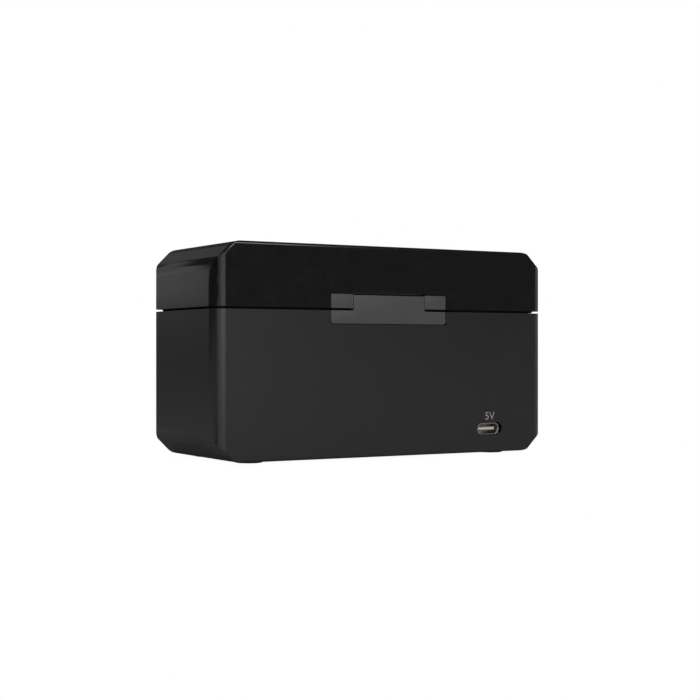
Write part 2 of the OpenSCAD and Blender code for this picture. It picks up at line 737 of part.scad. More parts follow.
module main_board() color(board_green) difference() {
  block(main_x, main_y, [main_z, main_z + board_t]);
  for (at = main_posts) rod_z(board_screw_r + 0.2, [main_z - 1, main_z + 3], at);
}

// Parts on the main board: the first group is placed from its front edge, the connectors from its rear edge
module board_parts() color(fan_black) {
  translate([main_x[0], main_y[0], main_z + board_t]) {
    for (x = [11, 21]) translate([x, 9, 0]) cylinder(r = 4, h = 5.5);
    translate([27, 6, 0]) cube([12, 9, 5]);
    translate([25, 18, 0]) cube([11, 8, 1.4]);
    for (i = [0:3]) translate([6 + i * 4, 17, 0]) cube([2.5, 5, 1.8]);
    translate([49, 7.2, 0]) cube([7, 5.6, 5]);
  }
  translate([main_x[0], main_y[1], main_z + board_t]) {
    translate([49, -16, 0]) cube([7, 6, 5]);
    translate([23, -7, 0]) cube([12, 6, 4.4]);
  }
}

module board_screws() color(steel) {
  for (at = main_posts) translate([at[0], at[1], main_z + board_t]) pan_screw(board_screw_r, 3.6);
  for (at = socket_posts) translate([at[0], at[1], socket_board_z + board_t]) pan_screw(board_screw_r, 5);
}

module socket_board() color(board_green) difference() {
  block(socket_board_x, socket_board_y, [socket_board_z, socket_board_z + board_t]);
  for (at = socket_posts) rod_z(board_screw_r + 0.2, [socket_board_z - 1, socket_board_z + 3], at);
}

// The socket's metal tube, grown or shrunk all round
module socket_tube(grow, y) {
  translate([socket_x, y[1], socket_z]) rotate([90, 0, 0]) linear_extrude(y[1] - y[0])
    rounded_rect(socket_size[0] + 2 * grow, socket_size[1] + 2 * grow, socket_corner + grow);
}

module socket_shell() color(steel) difference() {
  union() {
    socket_tube(0, [socket_back, socket_mouth]);
    socket_tube(socket_lip[0], [socket_mouth - socket_lip[1], socket_mouth]);
  }
  socket_tube(-socket_sheet, [socket_back + socket_sheet, socket_mouth + 1]);
}

module socket_tongue() color(ivory) {
  root = socket_back + socket_sheet;
  foot = [tongue[0] / 2 + 0.2, 2.3];
  block([socket_x - foot[0], socket_x + foot[0]], [root, root + 1.2], [socket_z - foot[1], socket_z + foot[1]]);
  block([socket_x - tongue[0] / 2, socket_x + tongue[0] / 2], [root + 1, socket_mouth - tongue[2]],
        [socket_z - tongue[1] / 2, socket_z + tongue[1] / 2]);
}

module socket_contacts() color(contact_gold) {
  contact = [1, 0.2];
  low = socket_z - tongue[1] / 2;
  y = [socket_back + socket_sheet + 1.2, socket_mouth - tongue[2] - 0.6];
  for (x = contact_xs)
    block([socket_x + x - contact[0] / 2, socket_x + x + contact[0] / 2], y, [low - contact[1], low]);
}

// ---------- display, buttons and outlets ----------

module display_window() color(smoked)
  translate([window_x, front_y + window_t, window_z]) rotate([90, 0, 0]) linear_extrude(window_t)
    rounded_rect(window_size[0] - 0.2, window_size[1] - 0.2, window_lip - 0.1);

module display_module() color(panel_grey)
  block([window_x - window_size[0] / 2 + 1, window_x + window_size[0] / 2 - 1], [-inner_y, display_y],
        [window_z - window_size[1] / 2 + 0.5, window_z + window_size[1] / 2 - 0.5]);

module display_board() color(board_green) difference() {
  block(display_x, [display_y, display_y + board_t], display_z);
  for (at = display_posts) rod_y(board_screw_r + 0.2, [display_y - 1, display_y + 3], at);
}

module display_screws() color(steel) {
  for (at = display_posts) translate([at[0], display_y + board_t, at[1]]) rotate([-90, 0, 0])
    pan_screw(board_screw_r, 4.5);
}

module button_domes() color(ivory) {
  for (x = button_xs) difference() {
    rod_y(dome_r[1], [display_y - dome_h, display_y], [x, window_z]);
    rod_y(dome_r[0], [-beyond, display_y + 1], [x, window_z]);
  }
}

module button(x) color(hinge_grey) {
  back = -inner_y + button_flange[2];
  rod_y(button_r, [front_y, -inner_y + 0.2], [x, window_z]);
  rod_y(button_r + button_flange[0], [-inner_y + button_flange[1], back], [x, window_z]);
  rod_y(dome_r[0] - 0.6, [back - 0.1, display_y - button_travel - 0.4], [x, window_z]);
}

module button_1() { button(button_xs[0]); }
module button_2() { button(button_xs[1]); }
module button_3() { button(button_xs[2]); }

// A bush with a wider mouth and a wider tail, and the fitted passage between them
module outlet_bush(x) color(hinge_grey) difference() {
  fitted = [-inner_y + 0.3, -inner_y + 5.8];
  union() {
    rod_y(outlet_r[1], [front_y, front_y + outlet_flange], [x, outlet_z]);
    rod_y(outlet_r[0], [front_y + outlet_flange / 2, tub_y[0]], [x, outlet_z]);
  }
  rod_y(outlet_bore, [-case_d, 0], [x, outlet_z]);
  rod_y(outlet_bore + 0.4, [-case_d, fitted[0]], [x, outlet_z]);
  rod_y(outlet_bore + 0.6, [fitted[1], 0], [x, outlet_z]);
}

module outlet_bush_left() { outlet_bush(-spool_x); }
module outlet_bush_right() { outlet_bush(spool_x); }

module humidity_sensor() color(ivory) {
  z = tub_floor + 50;
  block([-6, 6], [tub_y[0], tub_y[0] + 1], [z - 6, z + 6]);
  block([-2.5, 2.5], [tub_y[0] + 1, tub_y[0] + 2], [z - 2.5, z + 2.5]);
}

// ---------- ribbon and leads ----------

module display_ribbon() color(ribbon_grey) {
  thick = 0.4;
  top = main_z + board_t;
  x = [display_x[0] + 6, display_x[0] + 15];
  block(x, [display_y - thick, display_y], [top, display_z[0] + 2]);
  block(x, [display_y - thick, main_y[0] + 1.5], [top, top + thick]);
}

module power_leads() color(lead_red) {
  plug_y = main_y[1] - 1;
  for (x = [socket_x + 1.4, socket_x + 5.4])
    wire([[x, socket_board_y[0], socket_board_z + 0.8], [x, socket_board_y[0] - 2.5, socket_board_z + 0.8],
          [x, plug_y + 2.5, main_z + 4], [x, plug_y, main_z + 4]], 0.6);
}

module heater_leads() color(fan_black) {
  for (i = [0, 1])
    wire([[lead_x, main_y[1] - 14 + 2.2 * i, main_z + 4.6], [lead_x + 4, duct_y + 18 + 3 * i, main_z + 4.6],
          [heater_x[0] - 20, duct_y + 5 + 2 * i, main_z + 2],
          [heater_x[0] - 1 + 4 * i, duct_y + 0.9, main_z + 2]], 0.5, 20);
}

module blower_leads() color(fan_black) {
  for (i = [0, 1])
    wire([[lead_x, main_y[0] + 8.8 + 2.4 * i, main_z + 4.6], [lead_x + 5, -duct_y - 10 + 2.4 * i, main_z + 4],
          [blower_x[0] - 35, -duct_y - 7 + 2.4 * i, main_z + 2],
          [blower_x[0] - 0.15, -duct_y - 4.4 + 2.4 * i, main_z + 1.5]], 0.5, 20);
}

// ---------- lid ----------

// A ring inside the case outline, led inwards past the hinge
module seal_ring(inset, z, jog) {
  translate([0, 0, z[0]]) linear_extrude(z[1] - z[0]) difference() {
    difference() {
      rounded_rect(case_w - 2 * inset[0], case_d - 2 * inset[0], max(edge_round - inset[0], 0.5));
      translate([-seal_jog_x[0], jog[1]]) square([2 * seal_jog_x[0], beyond]);
    }
    difference() {
      rounded_rect(case_w - 2 * inset[1], case_d - 2 * inset[1], max(edge_round - inset[1], 0.5));
      translate([-seal_jog_x[1], jog[0]]) square([2 * seal_jog_x[1], beyond]);
    }
  }
}

module lid_shell() color(lid_black) difference() {
  boss_x = seal_jog_x[1] + 0.5;
  leaf_x = [-hinge_w / 2 - leaf_gap, hinge_w / 2 + leaf_gap];
  leaf_front = hinge_front - drop_fit;
  block_x = block_w / 2 + side_gap;
  union() {
    hollow_case([lid_z, beyond]);
    translate([0, 0, seal_z[1]]) linear_extrude(land_h) difference() {
      rounded_rect(2 * (inner_x + lap), 2 * (inner_y + lap), edge_round - wall + lap);
      rounded_rect(case_w - 2 * land_inset, case_d - 2 * land_inset, 1);
    }
    block([-boss_x, boss_x], [seal_jog_y[0] - 0.2, inner_y + lap], [seal_z[1], knuckle_z + bridge_h + 2]);
    for (at = magnet_at) rod_z(cup_r, [lid_cup_z, seal_z[1] + land_h], at);
  }
  block(leaf_x, [leaf_front, beyond], [0, knuckle_z + leaf_gap]);
  block(leaf_x, [leaf_front, inner_y], [0, knuckle_z + bridge_h + drop_fit]);
  block([-block_x, block_x], [leaf_front, beyond], [0, knuckle_z + block_gap]);
  rod_x(swing_r, [-block_x, block_x], [pin_y, pin_z]);
  for (x = [-hinge_screw_x, hinge_screw_x]) {
    rod_y(hinge_screw_r + 0.1, [0, inner_y], [x, hinge_screw_z[1]]);
    rod_y(2 * hinge_screw_r, [0, seal_jog_y[0] + 1], [x, hinge_screw_z[1]]);
  }
  for (at = magnet_at) rod_z(magnet_r, [lid_cup_z + skin, lid_cup_z + skin + magnet_h], at);
  translate([0, 0, top_z - glazing_t]) linear_extrude(beyond) rounded_rect(glazing[0], glazing[1], 5);
  translate([0, 0, top_z - 2 * wall]) linear_extrude(beyond)
    rounded_rect(glazing[0] - 2 * glazing_lip, glazing[1] - 2 * glazing_lip, 3);
}

module lid_window() color(smoked) {
  translate([0, 0, top_z - glazing_t]) linear_extrude(glazing_t)
    rounded_rect(glazing[0] - 2 * drop_fit, glazing[1] - 2 * drop_fit, 5 - drop_fit);
  translate([0, 0, top_z - glazing_t - glazing_plug + 0.2]) linear_extrude(glazing_plug)
    rounded_rect(glazing[0] - 2 * (glazing_lip + drop_fit), glazing[1] - 2 * (glazing_lip + drop_fit),
                 3 - drop_fit);
}

module lid_seal() color(rubber) seal_ring(seal_inset, seal_z, seal_jog_y);

module lid_magnets() color(steel) {
  for (at = magnet_at) rod_z(magnet_r, [lid_cup_z + skin, lid_cup_z + skin + magnet_h], at);
}

base_shell();
foot_pads();
drying_tub();
tub_screws();
base_magnets();
hinge_base_leaf();
hinge_pin();
hinge_base_screws();
front_cradle();
rear_cradle();
cradle_screws();
roller_bearings();
blower_housing();
blower_cover();
blower_motor();
heater_duct();
ptc_heater();
thermal_cutout();
main_board();
board_parts();
board_screws();
socket_board();
socket_shell();
socket_tongue();
socket_contacts();
display_window();
display_module();
display_board();
display_screws();
button_domes();
outlet_bush_left();
outlet_bush_right();
humidity_sensor();
display_ribbon();
power_leads();
heater_leads();
blower_leads();
lid_shell();
lid_window();
lid_seal();
lid_magnets();
hinge_lid_leaf();
hinge_lid_screws();
button_1();
button_2();
button_3();
blower_impeller();
roller_1();
roller_2();
roller_3();
roller_4();
roller_axle_1();
roller_axle_2();
roller_axle_3();
roller_axle_4();
desiccant_cartridge();
desiccant_packet();
desiccant_cover();
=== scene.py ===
import json
import math
import bmesh
import bpy
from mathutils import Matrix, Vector


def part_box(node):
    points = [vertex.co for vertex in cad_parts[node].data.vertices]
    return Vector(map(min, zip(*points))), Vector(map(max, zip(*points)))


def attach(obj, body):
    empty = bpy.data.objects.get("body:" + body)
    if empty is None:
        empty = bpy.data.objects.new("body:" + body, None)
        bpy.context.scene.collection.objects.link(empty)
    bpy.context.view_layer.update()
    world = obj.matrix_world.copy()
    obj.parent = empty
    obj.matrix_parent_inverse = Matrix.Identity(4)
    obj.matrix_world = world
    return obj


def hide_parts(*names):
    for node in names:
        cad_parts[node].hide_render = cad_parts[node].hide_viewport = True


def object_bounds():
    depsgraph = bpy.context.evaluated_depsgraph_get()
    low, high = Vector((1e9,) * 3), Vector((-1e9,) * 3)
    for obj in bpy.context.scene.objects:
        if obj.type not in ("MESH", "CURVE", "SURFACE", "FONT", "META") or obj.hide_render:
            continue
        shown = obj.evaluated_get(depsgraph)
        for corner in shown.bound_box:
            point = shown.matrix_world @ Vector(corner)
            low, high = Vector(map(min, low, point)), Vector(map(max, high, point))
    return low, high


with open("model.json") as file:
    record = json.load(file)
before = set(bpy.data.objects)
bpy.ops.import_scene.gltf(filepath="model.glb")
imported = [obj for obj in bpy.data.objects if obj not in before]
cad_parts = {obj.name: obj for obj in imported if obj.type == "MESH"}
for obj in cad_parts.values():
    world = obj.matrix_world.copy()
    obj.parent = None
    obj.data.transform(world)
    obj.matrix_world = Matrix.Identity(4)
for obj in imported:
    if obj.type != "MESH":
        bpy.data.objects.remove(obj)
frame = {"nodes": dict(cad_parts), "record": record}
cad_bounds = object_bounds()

NODES = frame["nodes"]
BODY = {node: body for body, nodes in frame["record"]["behaviour"]["bodies"].items() for node in nodes}
MM = 0.001
MM_PER_M = 1000
# How close to a plane, in mm, a face or an edge counts as lying on it
NEAR = 0.01
# The share of a direction that lies along an axis: above ALONG it counts as along it, and below ACROSS
# as across it
ALONG = 0.9
ACROSS = 0.5


def box_mm(node):
    """The low and the high corner of a node's box, in mm."""
    return [[c / MM for c in corner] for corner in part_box(node)]


# ---------- camera ----------

scene = bpy.context.scene
scene.view_settings.view_transform = "Standard"
camera = bpy.data.objects.new("camera", bpy.data.cameras.new("camera"))
scene.collection.objects.link(camera)
scene.camera = camera
camera.data.sensor_width = 36
camera.data.lens = 72.8
camera.data.shift_x = -0.0052
camera.data.clip_start = 0.01
camera.data.clip_end = 20
camera.location = (0.4351, 0.7419, 0.0631)
# It looks level at the rear wall from this many degrees to the side
VIEW_YAW = 30.46
camera.rotation_euler = (math.radians(90), 0, math.radians(180 - VIEW_YAW))


# ---------- finishes ----------

def linear(code):
    """An sRGB hex colour as linear light."""
    values = []
    for start in (1, 3, 5):
        c = int(code[start:start + 2], 16) / 255
        values.append(c / 12.92 if c <= 0.04045 else ((c + 0.055) / 1.055) ** 2.4)
    return (*values, 1.0)


def add_node(tree, kind, settings=None, **links):
    """Adds a node, sets its properties and sockets, and links its inputs to the sockets given by name."""
    node = tree.nodes.new(kind)
    for name, value in (settings or {}).items():
        if isinstance(name, str) and hasattr(node, name):
            setattr(node, name, value)
        else:
            node.inputs[name].default_value = value
    for name, source in links.items():
        socket = int(name[1:]) if name[0] == "_" else name.replace("_", " ")
        tree.links.new(source, node.inputs[socket])
    return node


def new_finish(name, roughness, metallic=0.0, specular=0.5, **sockets):
    """A material with its shader's constants set; the caller adds the pattern."""
    finish = bpy.data.materials.new(name)
    finish.use_nodes = True
    tree = finish.node_tree
    shader = tree.nodes["Principled BSDF"]
    shader.inputs["Roughness"].default_value = roughness
    shader.inputs["Metallic"].default_value = metallic
    if metallic < 0.5:
        shader.inputs["Specular IOR Level"].default_value = specular
    for socket, value in sockets.items():
        shader.inputs[socket.replace("_", " ")].default_value = value
    place = add_node(tree, "ShaderNodeTexCoord").outputs["Object"]
    return finish, tree, shader, place


# How much of a moulding's tone comes from its slow clouds, and the rest from its fine grain
CLOUD_SHARE = 0.2
# The relief of a metal's lines, in mm
LINE_RELIEF = 0.002


def moulded(name, dark, light, grain, relief, rough, cloud=18, **sockets):
    """A moulded plastic or rubber: fine grain of that size and relief in mm, and slow clouds in its tone."""
    finish, tree, shader, place = new_finish(name, rough[0], **sockets)
    fine = add_node(tree, "ShaderNodeTexNoise", {"Scale": MM_PER_M / grain, "Detail": 3.0, "Roughness": 0.6},
                    Vector=place)
    slow = add_node(tree, "ShaderNodeTexNoise", {"Scale": MM_PER_M / cloud, "Detail": 2.0}, Vector=place)
    both = add_node(tree, "ShaderNodeMix", {"Factor": CLOUD_SHARE},
                    _2=fine.outputs["Fac"], _3=slow.outputs["Fac"])
    tone = add_node(tree, "ShaderNodeMapRange", {"From Min": 0.3, "From Max": 0.7},
                    Value=both.outputs["Result"])
    colour = add_node(tree, "ShaderNodeMix", {"data_type": "RGBA", 6: linear(dark), 7: linear(light)},
                      Factor=tone.outputs["Result"])
    gloss = add_node(tree, "ShaderNodeMapRange", {"To Min": rough[0], "To Max": rough[1]},
                     Value=fine.outputs["Fac"])
    bump = add_node(tree, "ShaderNodeBump", {"Strength": 1.0, "Distance": relief * MM},
                    Height=fine.outputs["Fac"])
    tree.links.new(colour.outputs[2], shader.inputs["Base Color"])
    tree.links.new(gloss.outputs["Result"], shader.inputs["Roughness"])
    tree.links.new(bump.outputs["Normal"], shader.inputs["Normal"])
    return finish


def drawn_metal(name, dark, light, stretch, pitch, rough):
    """A metal with fine lines left by drawing or turning.

    The pitch is in mm, and stretch scales the pattern along X, Y and Z: below 1 it draws lines out.
    """
    finish, tree, shader, place = new_finish(name, rough[0], 1.0)
    along = add_node(tree, "ShaderNodeMapping", {"Scale": stretch}, Vector=place)
    lines = add_node(tree, "ShaderNodeTexNoise", {"Scale": MM_PER_M / pitch, "Detail": 4.0},
                     Vector=along.outputs["Vector"])
    colour = add_node(tree, "ShaderNodeMix", {"data_type": "RGBA", 6: linear(dark), 7: linear(light)},
                      Factor=lines.outputs["Fac"])
    gloss = add_node(tree, "ShaderNodeMapRange", {"To Min": rough[0], "To Max": rough[1]},
                     Value=lines.outputs["Fac"])
    bump = add_node(tree, "ShaderNodeBump", {"Strength": 1.0, "Distance": LINE_RELIEF * MM},
                    Height=lines.outputs["Fac"])
    tree.links.new(colour.outputs[2], shader.inputs["Base Color"])
    tree.links.new(gloss.outputs["Result"], shader.inputs["Roughness"])
    tree.links.new(bump.outputs["Normal"], shader.inputs["Normal"])
    return finish


# ABS from a spark-eroded mould: matte near-black with a fine pebbled grain. The real grain is
# about 0.2 mm and is drawn three times as coarse, or it wouldn't show.
textured_abs = moulded("textured_abs", "#101011", "#1a1a1b", 0.65, 0.014, (0.28, 0.38), specular=0.8)
# ABS from a polished mould: deep black with sharp reflections that swim a little with the wall's flow
polished_abs = moulded("polished_abs", "#18181a", "#1e1e1f", 9.0, 0.004, (0.12, 0.18),
                       specular=0.42, cloud=60)
# Acetal hinge mouldings: an even satin grey, slightly waxy
satin_acetal = moulded("satin_acetal", "#4c4d4e", "#535354", 0.5, 0.004, (0.42, 0.5), specular=0.4)
# Heat-resistant ABS of the drying tub: dark grey with a soft satin grain
tub_abs = moulded("tub_abs", "#2b2c2e", "#35363a", 0.6, 0.012, (0.45, 0.6), specular=0.35)
# Silicone rubber: matte black with a dry bloom that lightens it in clouds
silicone_rubber = moulded("silicone_rubber", "#141414", "#1f1f1f", 0.4, 0.01, (0.7, 0.85),
                          specular=0.3, cloud=6)
# Natural acetal: off-white, smooth and faintly translucent
natural_acetal = moulded("natural_acetal", "#d9d6cb", "#e6e3d9", 1.2, 0.003, (0.3, 0.4), specular=0.45)
# Glass-filled nylon of the blower: black with a grey fleck of fibre
glass_nylon = moulded("glass_nylon", "#1c1d1f", "#2b2d30", 0.45, 0.008, (0.4, 0.55), specular=0.4)
# Unfilled nylon of the heater duct: straw coloured, darker in patches where heat has worked on it
heat_nylon = moulded("heat_nylon", "#b3a482", "#cdc1a0", 1.5, 0.006, (0.4, 0.5), specular=0.4, cloud=12)
# PVC-covered wire: black and slightly shiny
wire_pvc_black = moulded("wire_pvc_black", "#191919", "#212121", 0.8, 0.004, (0.35, 0.45))
# Silicone-covered wire: dull brick red
wire_silicone_red = moulded("wire_silicone_red", "#7c1a1a", "#8c2422", 0.8, 0.004, (0.5, 0.6))
# Printed ink: flat light grey, a little uneven in its tone
pad_ink = moulded("pad_ink", "#a0a0a0", "#b4b4b4", 0.4, 0.0, (0.55, 0.65), specular=0.3)
# Liquid crystal panel: grey-green and dull, very finely mottled
crystal_panel = moulded("crystal_panel", "#7d877c", "#879186", 0.3, 0.0, (0.3, 0.35))
# Digits of the panel: dark, unlit
crystal_digit = moulded("crystal_digit", "#1d221f", "#252a27", 0.3, 0.0, (0.35, 0.4))

# Deep-drawn nickel-plated steel of the socket: warm grey, with draw lines along its depth
plated_steel = drawn_metal("plated_steel", "#9a9892", "#c2c0ba", (1, 0.08, 1), 0.25, (0.16, 0.3))
# Ground steel of shafts and pins: fine rings around the axis
ground_steel = drawn_metal("ground_steel", "#a7a9ab", "#c6c8ca", (1, 8, 1), 0.5, (0.2, 0.32))
# Zinc-plated steel of screws: bluish grey with a slight mottle
zinc_steel = drawn_metal("zinc_steel", "#8f9499", "#bcc2c6", (1, 1, 1), 0.7, (0.28, 0.42))
# Nickel-plated magnets: smooth and grey
magnet_nickel = drawn_metal("magnet_nickel", "#a5a39c", "#bdbbb4", (1, 1, 1), 2.0, (0.18, 0.25))
# Rolled aluminium of the heater fins: pale, with rolling lines
rolled_aluminium = drawn_metal("rolled_aluminium", "#b5b8ba", "#d2d5d7", (0.1, 1, 1), 0.4, (0.3, 0.45))
# Gold-plated contacts: warm and bright, worn pale along the rubbing line
gold_plate = drawn_metal("gold_plate", "#b98f3c", "#d9b45e", (1, 0.1, 1), 0.3, (0.18, 0.28))


def cast_acrylic(name, dark, light):
    """Cast acrylic: clear in its tint, very smooth, with a trace of fine wiping scratches."""
    finish, tree, shader, place = new_finish(name, 0.03, Transmission_Weight=1.0, IOR=1.49)
    along = add_node(tree, "ShaderNodeMapping", {"Rotation": (0, 0, 0.4), "Scale": (1, 0.05, 1)},
                     Vector=place)
    wipes = add_node(tree, "ShaderNodeTexNoise", {"Scale": MM_PER_M / 0.8, "Detail": 3.0},
                     Vector=along.outputs["Vector"])
    gloss = add_node(tree, "ShaderNodeMapRange",
                     {"From Min": 0.55, "From Max": 0.8, "To Min": 0.03, "To Max": 0.12},
                     Value=wipes.outputs["Fac"])
    tint = add_node(tree, "ShaderNodeMix", {"data_type": "RGBA", 6: linear(dark), 7: linear(light)},
                    Factor=wipes.outputs["Fac"])
    tree.links.new(gloss.outputs["Result"], shader.inputs["Roughness"])
    tree.links.new(tint.outputs[2], shader.inputs["Base Color"])
    return finish


def make_board_lacquer():
    """Fibreglass board under green lacquer: glossy, with copper tracks 0.5 mm wide showing lighter."""
    finish, tree, shader, place = new_finish("board_lacquer", 0.25, Coat_Weight=0.4)
    ground = linear("#16452c")
    # The mortar of a brick pattern stands for the tracks, and its sizes are shares of one cell
    cell = 10.0
    tracks = add_node(tree, "ShaderNodeTexBrick",
                      {"offset": 0.37, "offset_frequency": 2, "squash": 0.6, "squash_frequency": 3,
                       "Scale": MM_PER_M / cell, "Brick Width": 0.9, "Row Height": 0.22,
                       "Mortar Size": 0.025, "Mortar Smooth": 0.2,
                       "Color1": ground, "Color2": ground, "Mortar": linear("#2a7350")}, Vector=place)
    bump = add_node(tree, "ShaderNodeBump", {"Strength": 1.0, "Distance": 0.03 * MM},
                    Height=tracks.outputs["Fac"])
    tree.links.new(tracks.outputs["Color"], shader.inputs["Base Color"])
    tree.links.new(bump.outputs["Normal"], shader.inputs["Normal"])
    return finish


def make_spun_fibre():
    """Non-woven packet: pale blue fibre felt, with beads of about 3 mm pressing through it."""
    finish, tree, shader, place = new_finish("spun_fibre", 0.85, specular=0.2, Sheen_Weight=0.3)
    beads = add_node(tree, "ShaderNodeTexVoronoi", {"Scale": MM_PER_M / 3.0, "feature": "SMOOTH_F1"},
                     Vector=place)
    fibre = add_node(tree, "ShaderNodeTexNoise",
                     {"Scale": MM_PER_M / 0.7, "Detail": 5.0, "Distortion": 2.0}, Vector=place)
    colour = add_node(tree, "ShaderNodeMix",
                      {"data_type": "RGBA", 6: linear("#6f98b6"), 7: linear("#a8c3d4")},
                      Factor=fibre.outputs["Fac"])
    low = add_node(tree, "ShaderNodeBump", {"Strength": 1.0, "Distance": 0.5 * MM, "invert": True},
                   Height=beads.outputs["Distance"])
    bump = add_node(tree, "ShaderNodeBump", {"Strength": 0.6, "Distance": 0.05 * MM},
                    Height=fibre.outputs["Fac"], Normal=low.outputs["Normal"])
    tree.links.new(colour.outputs[2], shader.inputs["Base Color"])
    tree.links.new(bump.outputs["Normal"], shader.inputs["Normal"])
    return finish


def make_ribbon_film():
    """Flat ribbon lead: grey film, with its conductors showing as ridges 2 mm apart."""
    finish, tree, shader, place = new_finish("ribbon_film", 0.45)
    # A wave texture repeats 3.18 times in one unit of its scale, and here that unit is 6.3 mm
    ridges = add_node(tree, "ShaderNodeTexWave", {"bands_direction": "X", "Scale": MM_PER_M / 6.3},
                      Vector=place)
    colour = add_node(tree, "ShaderNodeMix",
                      {"data_type": "RGBA", 6: linear("#a29e94"), 7: linear("#c4c0b6")},
                      Factor=ridges.outputs["Fac"])
    bump = add_node(tree, "ShaderNodeBump", {"Strength": 1.0, "Distance": 0.15 * MM},
                    Height=ridges.outputs["Fac"])
    tree.links.new(colour.outputs[2], shader.inputs["Base Color"])
    tree.links.new(bump.outputs["Normal"], shader.inputs["Normal"])
    return finish


# The lid's window is smoked, and the display's pane only faintly tinted, or its figures would drown
smoked_acrylic = cast_acrylic("smoked_acrylic", "#6b6e72", "#74777b")
clear_acrylic = cast_acrylic("clear_acrylic", "#dadedb", "#e2e5e2")
board_lacquer = make_board_lacquer()
spun_fibre = make_spun_fibre()
ribbon_film = make_ribbon_film()

NODE_FINISH = {
    textured_abs: "base_shell",
    polished_abs: "lid_shell",
    satin_acetal: "hinge_base_leaf hinge_lid_leaf outlet_bush_left outlet_bush_right"
                  " button_1 button_2 button_3",
    tub_abs: "drying_tub front_cradle rear_cradle roller_1 roller_2 roller_3 roller_4",
    silicone_rubber: "foot_pads lid_seal button_domes",
    natural_acetal: "roller_bearings desiccant_cartridge desiccant_cover socket_tongue humidity_sensor",
    glass_nylon: "blower_housing blower_cover blower_impeller board_parts",
    heat_nylon: "heater_duct",
    wire_pvc_black: "heater_leads blower_leads",
    wire_silicone_red: "power_leads",
    crystal_panel: "display_module",
    plated_steel: "socket_shell thermal_cutout",
    ground_steel: "hinge_pin roller_axle_1 roller_axle_2 roller_axle_3 roller_axle_4 blower_motor",
    zinc_steel: "tub_screws hinge_base_screws hinge_lid_screws cradle_screws board_screws display_screws",
    magnet_nickel: "base_magnets lid_magnets",
    rolled_aluminium: "ptc_heater",
    gold_plate: "socket_contacts",
    smoked_acrylic: "lid_window",
    clear_acrylic: "display_window",
    board_lacquer: "main_board socket_board display_board",
    spun_fibre: "desiccant_packet",
    ribbon_film: "display_ribbon",
}
for finish, names in NODE_FINISH.items():
    for name in names.split():
        NODES[name].data.materials.clear()
        NODES[name].data.materials.append(finish)


# ---------- modelling ----------

# Edges that bend by less than this many degrees shade smooth
SMOOTH_ANGLE = 32
# Faces that bend by less than this many degrees are joined into one
FLAT_ANGLE = 0.4
# Points closer than this, in mm, are merged in a turned piece and in a node's own mesh
TURNED_MERGE = 0.002
NODE_MERGE = 0.001
# The steps round a turned piece of about 10 mm
STEPS_ROUND = 56


def deselect():
    if bpy.context.mode != "OBJECT":
        bpy.ops.object.mode_set(mode="OBJECT")
    bpy.ops.object.select_all(action="DESELECT")


def place_cube(low, high):
    """A cube between two corners in mm, opened in edit mode."""
    deselect()
    middle = [(a + b) / 2 * MM for a, b in zip(low, high)]
    bpy.ops.mesh.primitive_cube_add(size=1, location=middle)
    bpy.context.object.scale = [(b - a) * MM for a, b in zip(low, high)]
    bpy.ops.object.transform_apply(location=True, rotation=True, scale=True)
    bpy.ops.object.mode_set(mode="EDIT")
    return bpy.context.object


def pick(kind, test):
    """In edit mode, selects only the faces or edges whose place and direction, in mm, pass the test."""
    mesh = bpy.context.edit_object.data
    bpy.ops.mesh.select_mode(type="FACE" if kind == "faces" else "EDGE")
    bpy.ops.mesh.select_all(action="DESELECT")
    bm = bmesh.from_edit_mesh(mesh)
    for item in getattr(bm, kind):
        if kind == "faces":
            chosen = test(item.calc_center_median() / MM, item.normal)
        else:
            a, b = (vert.co for vert in item.verts)
            chosen = test((a + b) / 2 / MM, (b - a).normalized())
        if chosen:
            item.select_set(True)
    bmesh.update_edit_mesh(mesh)


def bevel(width, segments):
    bpy.ops.mesh.bevel(offset=width * MM, offset_type="OFFSET", segments=segments, affect="EDGES",
                       clamp_overlap=True)


def extrude(x=0, y=0, z=0):
    bpy.ops.mesh.extrude_region_move(TRANSFORM_OT_translate={"value": (x * MM, y * MM, z * MM)})


def inset(width):
    bpy.ops.mesh.inset(thickness=width * MM, depth=0)


def cut(place, normal):
    """Cuts all faces along a plane."""
    bpy.ops.mesh.select_all(action="SELECT")
    bpy.ops.mesh.bisect(plane_co=[p * MM for p in place], plane_no=normal)


def close_piece(piece, name, node, finish, angle=SMOOTH_ANGLE):
    """Finishes a piece: applies its place, shades its edges cleanly and lets it ride with the node."""
    if bpy.context.mode != "OBJECT":
        bpy.ops.object.mode_set(mode="OBJECT")
    deselect()
    piece.select_set(True)
    bpy.context.view_layer.objects.active = piece
    bpy.ops.object.transform_apply(location=True, rotation=True, scale=True)
    bpy.ops.object.shade_smooth_by_angle(angle=math.radians(angle))
    piece.name = name
    piece.data.name = name
    if finish:
        piece.data.materials.clear()
        piece.data.materials.append(finish)
    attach(piece, BODY[node])
    return piece


def join(pieces):
    deselect()
    for piece in pieces:
        piece.select_set(True)
    bpy.context.view_layer.objects.active = pieces[0]
    bpy.ops.object.join()
    return bpy.context.object


def copy_to(piece, x=0, y=0, z=0):
    """A copy of a piece with its own mesh, moved by so many mm."""
    twin = piece.copy()
    twin.data = piece.data.copy()
    scene.collection.objects.link(twin)
    twin.location = Vector(twin.location) + Vector((x, y, z)) * MM
    return twin


